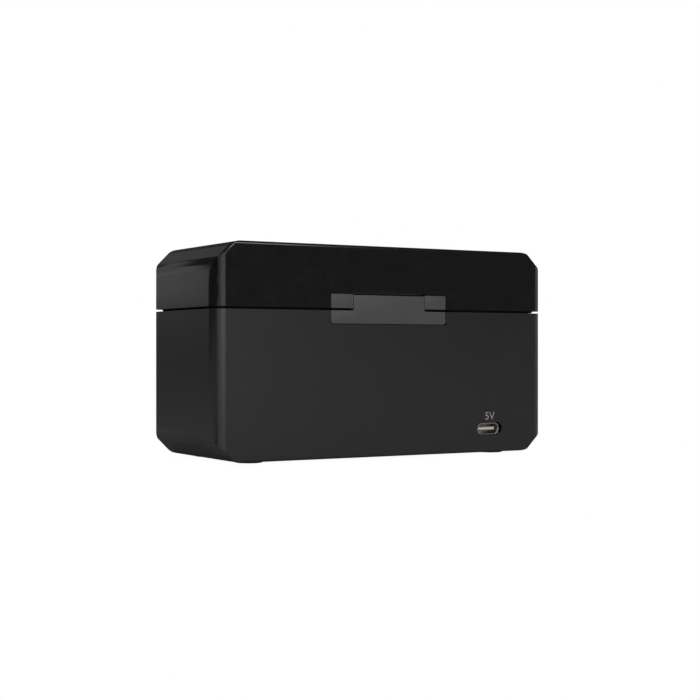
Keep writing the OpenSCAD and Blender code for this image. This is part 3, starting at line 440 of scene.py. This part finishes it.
def turned(profile, at, steps):
    """A turned piece around an axis along Y: the profile's points are (radius, place along Y) in mm."""
    deselect()
    bpy.ops.mesh.primitive_plane_add(size=MM, location=(0, 0, 0))
    bpy.ops.object.mode_set(mode="EDIT")
    bpy.ops.mesh.select_mode(type="VERT")
    bpy.ops.mesh.merge(type="CENTER")
    piece = bpy.context.object
    radius, along = profile[0]
    bpy.ops.transform.translate(value=((at[0] + radius) * MM, along * MM, at[1] * MM))
    for next_radius, next_along in profile[1:]:
        extrude(x=next_radius - radius, y=next_along - along)
        radius, along = next_radius, next_along
    bpy.ops.mesh.select_all(action="SELECT")
    bpy.ops.mesh.spin(steps=steps, angle=2 * math.pi, center=(at[0] * MM, 0, at[1] * MM), axis=(0, 1, 0))
    bpy.ops.mesh.select_all(action="SELECT")
    bpy.ops.mesh.remove_doubles(threshold=TURNED_MERGE * MM)
    bpy.ops.mesh.select_all(action="SELECT")
    bpy.ops.mesh.normals_make_consistent(inside=False)
    bpy.ops.object.mode_set(mode="OBJECT")
    return piece


def rounded_plate(size, middle, radius, thickness, along="y"):
    """A plate with round corners that faces up or to the rear, in mm, opened in edit mode."""
    deselect()
    turn = (math.radians(-90), 0, 0) if along == "y" else (0, 0, 0)
    bpy.ops.mesh.primitive_plane_add(size=1, location=[m * MM for m in middle], rotation=turn)
    plate = bpy.context.object
    plate.scale = (size[0] * MM, size[1] * MM, 1)
    bpy.ops.object.transform_apply(location=True, rotation=True, scale=True)
    bpy.ops.object.mode_set(mode="EDIT")
    bpy.ops.mesh.select_all(action="SELECT")
    bpy.ops.mesh.bevel(offset=radius * MM, segments=10, affect="VERTICES", clamp_overlap=False)
    bpy.ops.mesh.select_all(action="SELECT")
    if along == "y":
        extrude(y=-thickness)
    else:
        extrude(z=-thickness)
    bpy.ops.mesh.select_all(action="SELECT")
    bpy.ops.mesh.normals_make_consistent(inside=False)
    return plate


def soften_node(name, shown, width=0, segments=2):
    """Shows a merged copy of a node's own mesh, with its edges softened and its flat faces shaded flat."""
    deselect()
    piece = copy_to(NODES[name])
    piece.parent = None
    piece.select_set(True)
    bpy.context.view_layer.objects.active = piece
    bpy.ops.object.mode_set(mode="EDIT")
    bpy.ops.mesh.select_all(action="SELECT")
    bpy.ops.mesh.remove_doubles(threshold=NODE_MERGE * MM)
    bpy.ops.mesh.select_all(action="SELECT")
    bpy.ops.mesh.dissolve_limited(angle_limit=math.radians(FLAT_ANGLE))
    bpy.ops.object.mode_set(mode="OBJECT")
    if width:
        round_off = piece.modifiers.new("round_off", "BEVEL")
        round_off.width = width * MM
        round_off.segments = segments
        round_off.limit_method = "ANGLE"
        round_off.angle_limit = math.radians(SMOOTH_ANGLE)
        bpy.ops.object.modifier_apply(modifier="round_off")
    close_piece(piece, shown, name, None)
    even = piece.modifiers.new("even", "WEIGHTED_NORMAL")
    even.keep_sharp = True
    bpy.ops.object.modifier_apply(modifier="even")
    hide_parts(name)
    return piece


# ---------- case and hinge ----------

soften_node("base_shell", "base_case")
soften_node("lid_shell", "lid_case")
soften_node("drying_tub", "drying_bay")
soften_node("lid_seal", "lid_gasket", width=0.5, segments=3)
for cradle_name in ("front_cradle", "rear_cradle"):
    soften_node(cradle_name, cradle_name + "_soft", width=0.2)

HINGE_SOFT = 0.22
STRIP_CORNER = 1.5
# The height of the base's rim, the half width of the hinge's middle block and its drop below the lid's leaf
RIM_Z = 85.7
BLOCK_X = 24.3
BLOCK_DROP = 0.45
# The gap between block and ears, the height of the bridge that joins the ears, how far in from their
# rear faces it ends, and how far they reach into it
EAR_GAP = 0.2
BRIDGE_TALL = 4.7
BRIDGE_BACK = 2.7
BRIDGE_BITE = 0.2
leaf_low, leaf_high = box_mm("hinge_base_leaf")
ears_low, ears_high = box_mm("hinge_lid_leaf")

# The strip in the rear wall, with the middle block drawn up from its top face
hinge_strip = place_cube(leaf_low, (leaf_high[0], leaf_high[1], RIM_Z))
for side in (-1, 1):
    cut((side * BLOCK_X, 0, 0), (1, 0, 0))
pick("faces", lambda c, n: n.z > ALONG and abs(c.x) < BLOCK_X)
extrude(z=leaf_high[2] - BLOCK_DROP - RIM_Z)
pick("edges", lambda c, d: (abs(d.y) > ALONG and abs(c.x) > leaf_high[0] - NEAR
                            and c.z < leaf_low[2] + NEAR))
bevel(STRIP_CORNER, 8)
pick("edges", lambda c, d: c.y > leaf_high[1] - NEAR)
bevel(HINGE_SOFT, 3)
close_piece(hinge_strip, "hinge_strip", "hinge_base_leaf", satin_acetal)
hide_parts("hinge_base_leaf")

# The ears on the lid, with the bridge that joins them behind the wall
ear_parts = []
link_z = ears_high[2] - BRIDGE_TALL
link_y = ears_high[1] - BRIDGE_BACK
for side in (-1, 1):
    edges = sorted((side * (BLOCK_X + EAR_GAP), side * ears_high[0]))
    ear = place_cube((edges[0], ears_low[1], ears_low[2]), (edges[1], ears_high[1], link_z - BRIDGE_BITE))
    cut((0, link_y, 0), (0, 1, 0))
    pick("faces", lambda c, n: n.z > ALONG and c.y < link_y)
    extrude(z=2 * BRIDGE_BITE)
    pick("edges", lambda c, d: c.y > ears_high[1] - NEAR)
    bevel(HINGE_SOFT, 3)
    bpy.ops.object.mode_set(mode="OBJECT")
    ear_parts.append(ear)
bridge = place_cube((ears_low[0], ears_low[1], link_z), (ears_high[0], link_y, ears_high[2]))
pick("edges", lambda c, d: abs(d.x) > ALONG)
bevel(0.3, 2)
bpy.ops.object.mode_set(mode="OBJECT")
hinge_ears = join(ear_parts + [bridge])
close_piece(hinge_ears, "hinge_ears", "hinge_lid_leaf", satin_acetal)
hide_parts("hinge_lid_leaf")


# ---------- feet ----------

foot_low, foot_high = box_mm("foot_pads")
FOOT_R = 8.0
# A shallow hollow inside a ring that stands on the table
FOOT_PROFILE = [(0, 0.5), (5.2, 0.5), (5.6, 0.1), (6.0, 0), (7.2, 0), (7.7, 0.2), (FOOT_R, 0.6),
                (FOOT_R, 1.2), (0, 1.2)]
first_foot = turned(FOOT_PROFILE, (0, 0), steps=64)
first_foot.rotation_euler = (math.radians(90), 0, 0)
deselect()
first_foot.select_set(True)
bpy.ops.object.transform_apply(location=True, rotation=True, scale=True)
feet = [copy_to(first_foot, x, y) for x in (foot_low[0] + FOOT_R, foot_high[0] - FOOT_R)
        for y in (foot_low[1] + FOOT_R, foot_high[1] - FOOT_R)]
bpy.data.objects.remove(first_foot)
feet = close_piece(join(feet), "feet", "foot_pads", silicone_rubber)
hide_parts("foot_pads")


# ---------- power socket ----------

shell_low, shell_high = box_mm("socket_shell")
SHELL_R = 3.5
# The collar's thickness and its width round the tube, and the tube's sheet
COLLAR = 0.4
SHELL_LIP = 0.5
SHEET = 0.35
socket_mid = ((shell_low[0] + shell_high[0]) / 2, (shell_low[2] + shell_high[2]) / 2)
socket_tube = rounded_plate((shell_high[0] - shell_low[0], shell_high[2] - shell_low[2]),
                            (socket_mid[0], shell_high[1], socket_mid[1]), SHELL_R, COLLAR)
pick("faces", lambda c, n: n.y < -ALONG)
inset(SHELL_LIP)
extrude(y=shell_low[1] - shell_high[1] + COLLAR)
pick("faces", lambda c, n: n.y > ALONG)
inset(SHELL_LIP + SHEET)
extrude(y=shell_low[1] - shell_high[1] + SHEET)
pick("edges", lambda c, d: c.y > shell_high[1] - COLLAR - NEAR and abs(d.y) < ACROSS)
bevel(0.15, 3)
close_piece(socket_tube, "socket_tube", "socket_shell", plated_steel)
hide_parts("socket_shell")

tongue_low, tongue_high = box_mm("socket_tongue")
# A wide root at the back of the tube, and the bar that stands out of it, set in at both sides
ROOT_DEEP = 1.2
BAR_BITE = 0.1
BAR_INSET = 0.2
BAR_HALF = 0.9
tongue_root = place_cube(tongue_low, (tongue_high[0], tongue_low[1] + ROOT_DEEP, tongue_high[2]))
pick("edges", lambda c, d: abs(d.y) < ACROSS and c.y > tongue_low[1] + ROOT_DEEP - NEAR)
bevel(0.3, 2)
bpy.ops.object.mode_set(mode="OBJECT")
tongue_bar = place_cube((tongue_low[0] + BAR_INSET, tongue_low[1] + ROOT_DEEP - BAR_BITE,
                         socket_mid[1] - BAR_HALF),
                        (tongue_high[0] - BAR_INSET, tongue_high[1], socket_mid[1] + BAR_HALF))
pick("edges", lambda c, d: c.y > tongue_high[1] - NEAR)
bevel(0.45, 1)
socket_tongue = close_piece(join([tongue_root, tongue_bar]), "tongue_bar", "socket_tongue", natural_acetal)
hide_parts("socket_tongue")

contact_low, contact_high = box_mm("socket_contacts")
CONTACT_X = (-4, -1.3, 1.3, 4)
CONTACT_HALF = 0.5
first_contact = place_cube((-CONTACT_HALF, contact_low[1], contact_low[2]),
                           (CONTACT_HALF, contact_high[1], contact_high[2]))
pick("edges", lambda c, d: c.z < contact_low[2] + NEAR)
bevel(0.08, 2)
bpy.ops.object.mode_set(mode="OBJECT")
contacts = [copy_to(first_contact, socket_mid[0] + x) for x in CONTACT_X]
bpy.data.objects.remove(first_contact)
contacts = close_piece(join(contacts), "contact_strips", "socket_contacts", gold_plate)
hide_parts("socket_contacts")

# The voltage above the socket, printed in plain figures: their size, their rise over the socket's middle,
# half the print's thickness and how deep its middle lies in the wall, so that it stands 0.01 mm proud
MARKING_SIZE = 6.6
MARKING_RISE = 5.6
PRINT_HALF = 0.02
PRINT_DEPTH = 0.01
deselect()
bpy.ops.object.text_add(location=(0, 0, 0))
marking = bpy.context.object
marking.data.body = "5V"
marking.data.align_x = "CENTER"
marking.data.align_y = "BOTTOM_BASELINE"
marking.data.size = MARKING_SIZE * MM
marking.data.extrude = PRINT_HALF * MM
bpy.ops.object.convert(target="MESH")
marking.rotation_euler = (math.radians(90), 0, math.radians(180))
marking.location = (socket_mid[0] * MM, cad_bounds[1][1] - PRINT_DEPTH * MM,
                    (socket_mid[1] + MARKING_RISE) * MM)
close_piece(marking, "voltage_marking", "base_shell", pad_ink)


# ---------- display, buttons and outlets ----------

pane_low, pane_high = box_mm("display_window")
PANE_CORNER = 1.9
window_mid = ((pane_low[0] + pane_high[0]) / 2, (pane_low[2] + pane_high[2]) / 2)
display_pane = rounded_plate((pane_high[0] - pane_low[0], pane_high[2] - pane_low[2]),
                             (window_mid[0], pane_high[1], window_mid[1]), PANE_CORNER,
                             pane_high[1] - pane_low[1])
pick("edges", lambda c, d: c.y < pane_low[1] + NEAR)
bevel(0.2, 3)
close_piece(display_pane, "display_pane", "display_window", clear_acrylic)
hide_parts("display_window")

# The panel behind the pane, with a bezel round its glass
panel_low, panel_high = box_mm("display_module")
BEZEL = 1.6
GLASS_DEEP = 0.5
panel = place_cube(panel_low, panel_high)
pick("faces", lambda c, n: n.y < -ALONG)
inset(BEZEL)
extrude(y=GLASS_DEEP)
pick("edges", lambda c, d: c.y < panel_low[1] + GLASS_DEEP + NEAR and abs(d.y) < ACROSS)
bevel(0.15, 2)
close_piece(panel, "display_panel", "display_module", crystal_panel)
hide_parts("display_module")

# Unlit figures of seven bars each: two for the heat and two for the dampness
BAR_LONG, BAR_WIDE, FIGURE_W, FIGURE_H = 4.0, 0.9, 4.4, 8.8
# How far in front of the glass a bar begins and ends, and how its ends are cut
BAR_BACK, BAR_FACE = 0.01, 0.06
BAR_POINT = 0.4
FIGURE_X = (-15.5, -9.5, 3.5, 9.5)
glass_y = panel_low[1] + GLASS_DEEP
flat_bar = place_cube((-BAR_LONG / 2, glass_y - BAR_FACE, -BAR_WIDE / 2),
                      (BAR_LONG / 2, glass_y - BAR_BACK, BAR_WIDE / 2))
pick("edges", lambda c, d: abs(d.y) > ALONG)
bevel(BAR_POINT, 1)
bpy.ops.object.mode_set(mode="OBJECT")
up_bar = copy_to(flat_bar)
deselect()
up_bar.select_set(True)
bpy.context.view_layer.objects.active = up_bar
up_bar.rotation_euler = (0, math.radians(90), 0)
bpy.ops.object.transform_apply(location=True, rotation=True, scale=True)
bars = []
for middle in FIGURE_X:
    x = window_mid[0] + middle
    bars += [copy_to(flat_bar, x, 0, window_mid[1] + level * FIGURE_H / 2) for level in (-1, 0, 1)]
    bars += [copy_to(up_bar, x + side * FIGURE_W / 2, 0, window_mid[1] + level * FIGURE_H / 4)
             for side in (-1, 1) for level in (-1, 1)]
bpy.data.objects.remove(flat_bar)
bpy.data.objects.remove(up_bar)
close_piece(join(bars), "display_figures", "display_module", crystal_digit)

FRONT_Y = pane_low[1]
# A dished cap, the flange that keeps it behind the wall, and the stem that presses the dome
BUTTON_PROFILE = [(0, 0.3), (1.8, 0.24), (2.6, 0.1), (3.0, 0.02), (3.25, 0.05), (3.4, 0.22), (3.4, 2.6),
                  (4.4, 2.6), (4.4, 3.4), (1.5, 3.4), (1.5, 5.7), (0, 5.7)]
for number in (1, 2, 3):
    low, high = box_mm("button_%d" % number)
    middle = ((low[0] + high[0]) / 2, (low[2] + high[2]) / 2)
    button = turned([(r, FRONT_Y + y) for r, y in BUTTON_PROFILE], middle, STEPS_ROUND)
    close_piece(button, "button_cap_%d" % number, "button_%d" % number, satin_acetal)
    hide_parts("button_%d" % number)

# The bushes that let the filament out: a flared mouth, the fitted passage and a wider tail
BUSH_PROFILE = [(3.0, 0), (2.62, 0.2), (2.5, 0.6), (2.5, 2.5), (2.1, 2.8), (2.1, 8.3), (2.7, 8.6),
                (2.7, 11.5), (3.9, 11.5), (3.9, 1.0), (5.0, 1.0), (5.0, 0.35), (4.88, 0.1), (4.6, 0),
                (3.0, 0)]
for side in ("left", "right"):
    low, high = box_mm("outlet_bush_" + side)
    middle = ((low[0] + high[0]) / 2, (low[2] + high[2]) / 2)
    bush = turned([(r, FRONT_Y + y) for r, y in BUSH_PROFILE], middle, STEPS_ROUND)
    close_piece(bush, "bush_" + side, "outlet_bush_" + side, satin_acetal)
    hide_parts("outlet_bush_" + side)


# ---------- lid window ----------

glazing_low, glazing_high = box_mm("lid_window")
GLAZING_CORNER = 4.85
GLAZING_THICK = 1.5
# Below the pane a plug, set in all round, fills the opening
PLUG_STEP = 3.0
PLUG_DEEP = 1.0
lid_pane = rounded_plate((glazing_high[0] - glazing_low[0], glazing_high[1] - glazing_low[1]),
                         (0, 0, glazing_high[2]), GLAZING_CORNER, GLAZING_THICK, along="z")
pick("faces", lambda c, n: n.z < -ALONG)
inset(PLUG_STEP)
extrude(z=-PLUG_DEEP)
pick("edges", lambda c, d: c.z > glazing_high[2] - NEAR)
bevel(0.2, 3)
close_piece(lid_pane, "lid_pane", "lid_window", smoked_acrylic)
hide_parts("lid_window")


# ---------- rollers ----------

# The rings sit in two grooves, so far from the roller's middle
RING_AT = 18
RING_R = 4.85
RING_WIRE = 0.75
GROOVE_R = 4.4
GROOVE_HALF = 1
ROLLER_R = 5
AXLE_R = 2
CHAMFER = 0.4
for number in (1, 2, 3, 4):
    low, high = box_mm("roller_%d" % number)
    x, z = (low[0] + high[0]) / 2, (low[2] + high[2]) / 2
    front, rear, middle = low[1], high[1], (low[1] + high[1]) / 2
    barrel = [(AXLE_R, front), (ROLLER_R - CHAMFER, front), (ROLLER_R, front + CHAMFER)]
    for ring in (middle - RING_AT, middle + RING_AT):
        barrel += [(ROLLER_R, ring - GROOVE_HALF), (GROOVE_R, ring - GROOVE_HALF),
                   (GROOVE_R, ring + GROOVE_HALF), (ROLLER_R, ring + GROOVE_HALF)]
    barrel += [(ROLLER_R, rear - CHAMFER), (ROLLER_R - CHAMFER, rear), (AXLE_R, rear), (AXLE_R, front)]
    roller = turned(barrel, (x, z), STEPS_ROUND)
    roller.data.materials.append(tub_abs)
    rings = []
    for ring in (middle - RING_AT, middle + RING_AT):
        deselect()
        bpy.ops.mesh.primitive_torus_add(location=(x * MM, ring * MM, z * MM), major_radius=RING_R * MM,
                                         minor_radius=RING_WIRE * MM, major_segments=STEPS_ROUND,
                                         minor_segments=14, rotation=(math.radians(90), 0, 0))
        bpy.context.object.data.materials.append(silicone_rubber)
        rings.append(bpy.context.object)
    roller = close_piece(join([roller] + rings), "roller_barrel_%d" % number, "roller_%d" % number, None,
                         angle=40)
    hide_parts("roller_%d" % number)
    low, high = box_mm("roller_axle_%d" % number)
    end_r = AXLE_R - CHAMFER
    axle = turned([(0, low[1]), (end_r, low[1]), (AXLE_R, low[1] + CHAMFER), (AXLE_R, high[1] - CHAMFER),
                   (end_r, high[1]), (0, high[1])], (x, z), steps=40)
    close_piece(axle, "axle_%d" % number, "roller_axle_%d" % number, ground_steel)
    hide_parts("roller_axle_%d" % number)


# ---------- desiccant ----------

soften_node("desiccant_cartridge", "cartridge_box", width=0.25)
soften_node("desiccant_cover", "cartridge_cover", width=0.25)
# The packet's top is smoothed between these margins at its ends first, and then all of it
PACKET_MARGIN = 2
packet_low, packet_high = box_mm("desiccant_packet")
packet = place_cube(packet_low, packet_high)
bpy.ops.mesh.select_all(action="SELECT")
bpy.ops.mesh.subdivide(number_cuts=5)
pick("edges", lambda c, d: (c.z > packet_high[2] - NEAR
                            and packet_low[0] + PACKET_MARGIN < c.x < packet_high[0] - PACKET_MARGIN))
bpy.ops.mesh.vertices_smooth(factor=0.5, repeat=2)
bpy.ops.mesh.select_all(action="SELECT")
bpy.ops.mesh.vertices_smooth(factor=0.5, repeat=3)
close_piece(packet, "bead_packet", "desiccant_packet", spun_fibre, angle=60)
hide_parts("desiccant_packet")


# ---------- screws ----------

# A head's radius and height, and its cross recess's half length, half width and depth, all as shares
# of the shank's radius
HEAD_R = 1.9
HEAD_TALL = 0.9
RECESS_LONG, RECESS_WIDE, RECESS_DEEP = 0.95, 0.22, 0.7
# How long a screw's tapered tip is and how far the tool that cuts the recess stands out, in mm
TIP = 0.4
TOOL_OUT = 1


def cross_screw(radius, length, sunk):
    """A screw of that shank radius and length in mm, with a cross recess and its head towards +Y.

    A sunk head has its top at 0, and a raised one its seat.
    """
    head = HEAD_R * radius
    tall = HEAD_TALL * radius
    if sunk:
        top = 0
        profile = [(0, 0), (head - 0.08, 0), (head, -0.06), (radius, -tall)]
    else:
        top = tall
        profile = [(0, tall), (head * 0.62, tall), (head * 0.87, tall * 0.88), (head, tall * 0.5),
                   (head, 0), (radius, 0)]
    profile += [(radius, -length + TIP), (radius * 0.6, -length), (0, -length)]
    screw = turned(profile, (0, 0), steps=32)
    blades = []
    for long_way in (0, 1):
        half = (RECESS_LONG * radius, RECESS_WIDE * radius)
        blade = place_cube((-half[long_way], top - RECESS_DEEP * radius, -half[1 - long_way]),
                           (half[long_way], top + TOOL_OUT, half[1 - long_way]))
        pick("edges", lambda c, d: c.y < top - RECESS_DEEP * radius + NEAR)
        bevel(0.15 * radius, 1)
        bpy.ops.object.mode_set(mode="OBJECT")
        blades.append(blade)
    for blade in blades:
        deselect()
        screw.select_set(True)
        bpy.context.view_layer.objects.active = screw
        recess = screw.modifiers.new("recess", "BOOLEAN")
        recess.operation = "DIFFERENCE"
        recess.object = blade
        bpy.ops.object.modifier_apply(modifier="recess")
        bpy.data.objects.remove(blade)
    return screw


def screw_set(name, node, radius, length, sunk=False, down=True):
    """Screws of one size at the corners of the node's box, or side by side where they lie along Y."""
    low, high = box_mm(node)
    head = HEAD_R * radius
    first = cross_screw(radius, length, sunk)
    deselect()
    first.select_set(True)
    first.rotation_euler = (math.radians(90), 0, 0) if down else (0, 0, math.radians(180))
    bpy.ops.object.transform_apply(location=True, rotation=True, scale=True)
    if down:
        seat = high[2] if sunk else high[2] - HEAD_TALL * radius
        screws = [copy_to(first, x, y, seat) for x in (low[0] + head, high[0] - head)
                  for y in (low[1] + head, high[1] - head)]
    else:
        screws = [copy_to(first, x, low[1] + HEAD_TALL * radius, low[2] + head)
                  for x in (low[0] + head, high[0] - head)]
    bpy.data.objects.remove(first)
    piece = close_piece(join(screws), name, node, zinc_steel)
    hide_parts(node)


screw_set("flange_screws", "tub_screws", radius=1.25, length=9, sunk=True)
screw_set("tab_screws", "cradle_screws", radius=0.9, length=3)
screw_set("leaf_screws", "hinge_lid_screws", radius=1.0, length=3.2, down=False)


# ---------- studio ----------

def studio_lamp(name, place, target, size, watts):
    """A rectangular lamp that shines from its place towards the target, with all lengths in metres."""
    data = bpy.data.lights.new(name, "AREA")
    data.shape = "RECTANGLE"
    data.size, data.size_y = size
    data.energy = watts
    lamp = bpy.data.objects.new(name, data)
    scene.collection.objects.link(lamp)
    lamp.location = place
    lamp.rotation_euler = (Vector(target) - Vector(place)).to_track_quat("-Z", "Y").to_euler()


BOX_MIDDLE = (0, 0, 0.06)
studio_lamp("overhead", (0.0, 0.1, 1.3), BOX_MIDDLE, (1.0, 1.0), 0.8)
studio_lamp("rear_strip", (0.231, 1.534, 0.2), (0.1, 0.04, 0.08), (1.15, 1.3), 6.2)
studio_lamp("rear_wide", (1.064, 1.189, 0.2), (0.1, 0.04, 0.08), (0.75, 1.3), 1.7)
studio_lamp("front_panel", (0.66, -1.5, 0.36), (0.66, 0, 0.36), (0.42, 0.46), 0.24)
studio_lamp("rear_high", (-0.3, 1.2, 1.0), BOX_MIDDLE, (0.8, 0.5), 8.2)
studio_lamp("front_middle", (0.4, -1.5, 0.55), (0.4, 0, 0.55), (0.4, 0.4), 0.1)
studio_lamp("front_high", (0.11, -1.5, 0.77), (0.11, 0, 0.77), (0.5, 0.4), 0.064)
studio_lamp("side_high", (1.2, 0.3, 1.0), BOX_MIDDLE, (0.6, 0.5), 0.5)
studio_lamp("far_side", (-1.5, 0.25, 0.15), BOX_MIDDLE, (1.0, 1.0), 1.5)

# A dark room with a white background: the camera and glass see it white, and a mirror sees a share of it
MIRRORED_WHITE = 0.04
ROOM_LIGHT = 0.015


def white_share(tree):
    """How much of the white background a ray sees."""
    ray = add_node(tree, "ShaderNodeLightPath")
    glossy = add_node(tree, "ShaderNodeMath", {"operation": "MULTIPLY", 1: MIRRORED_WHITE},
                      _0=ray.outputs["Is Glossy Ray"])
    clear = add_node(tree, "ShaderNodeMath", {"operation": "MAXIMUM"}, _0=ray.outputs["Is Camera Ray"],
                     _1=ray.outputs["Is Transmission Ray"])
    return add_node(tree, "ShaderNodeMath", {"operation": "MAXIMUM"}, _0=clear.outputs[0],
                    _1=glossy.outputs[0]).outputs[0]


world = bpy.data.worlds.new("studio")
scene.world = world
world.use_nodes = True
room = world.node_tree
room.nodes.clear()
dim = add_node(room, "ShaderNodeBackground", {"Color": (1, 1, 1, 1), "Strength": ROOM_LIGHT})
white = add_node(room, "ShaderNodeBackground", {"Color": (1, 1, 1, 1), "Strength": 1.0})
choice = add_node(room, "ShaderNodeMixShader", None, _0=white_share(room), _1=dim.outputs[0],
                  _2=white.outputs[0])
add_node(room, "ShaderNodeOutputWorld", None, Surface=choice.outputs[0])

deselect()
FLOOR_SIZE = 30
bpy.ops.mesh.primitive_plane_add(size=FLOOR_SIZE, location=(0, 0, 0))
floor = bpy.context.object
floor.name = "floor"
floor_paint = bpy.data.materials.new("floor_paint")
floor_paint.use_nodes = True
paint = floor_paint.node_tree
paint.nodes.clear()
# Within this many metres of the object the floor darkens, and its white keeps a faint shadow
SHADOW_REACH = 0.004
SHADOW_WHITE = 0.97
FLOOR_GREY = (0.85, 0.85, 0.85, 1)
hidden = add_node(paint, "ShaderNodeAmbientOcclusion",
                  {"Color": FLOOR_GREY, "Distance": SHADOW_REACH, "samples": 8})
shadow = add_node(paint, "ShaderNodeMapRange", {"To Min": SHADOW_WHITE, "To Max": 1.0},
                  Value=hidden.outputs["AO"])
matte = add_node(paint, "ShaderNodeBsdfDiffuse", None, Color=hidden.outputs["Color"])
white = add_node(paint, "ShaderNodeEmission", {"Color": (1, 1, 1, 1)}, Strength=shadow.outputs["Result"])
choice = add_node(paint, "ShaderNodeMixShader", None, _0=white_share(paint), _1=matte.outputs[0],
                  _2=white.outputs[0])
add_node(paint, "ShaderNodeOutputMaterial", None, Surface=choice.outputs[0])
floor.data.materials.append(floor_paint)
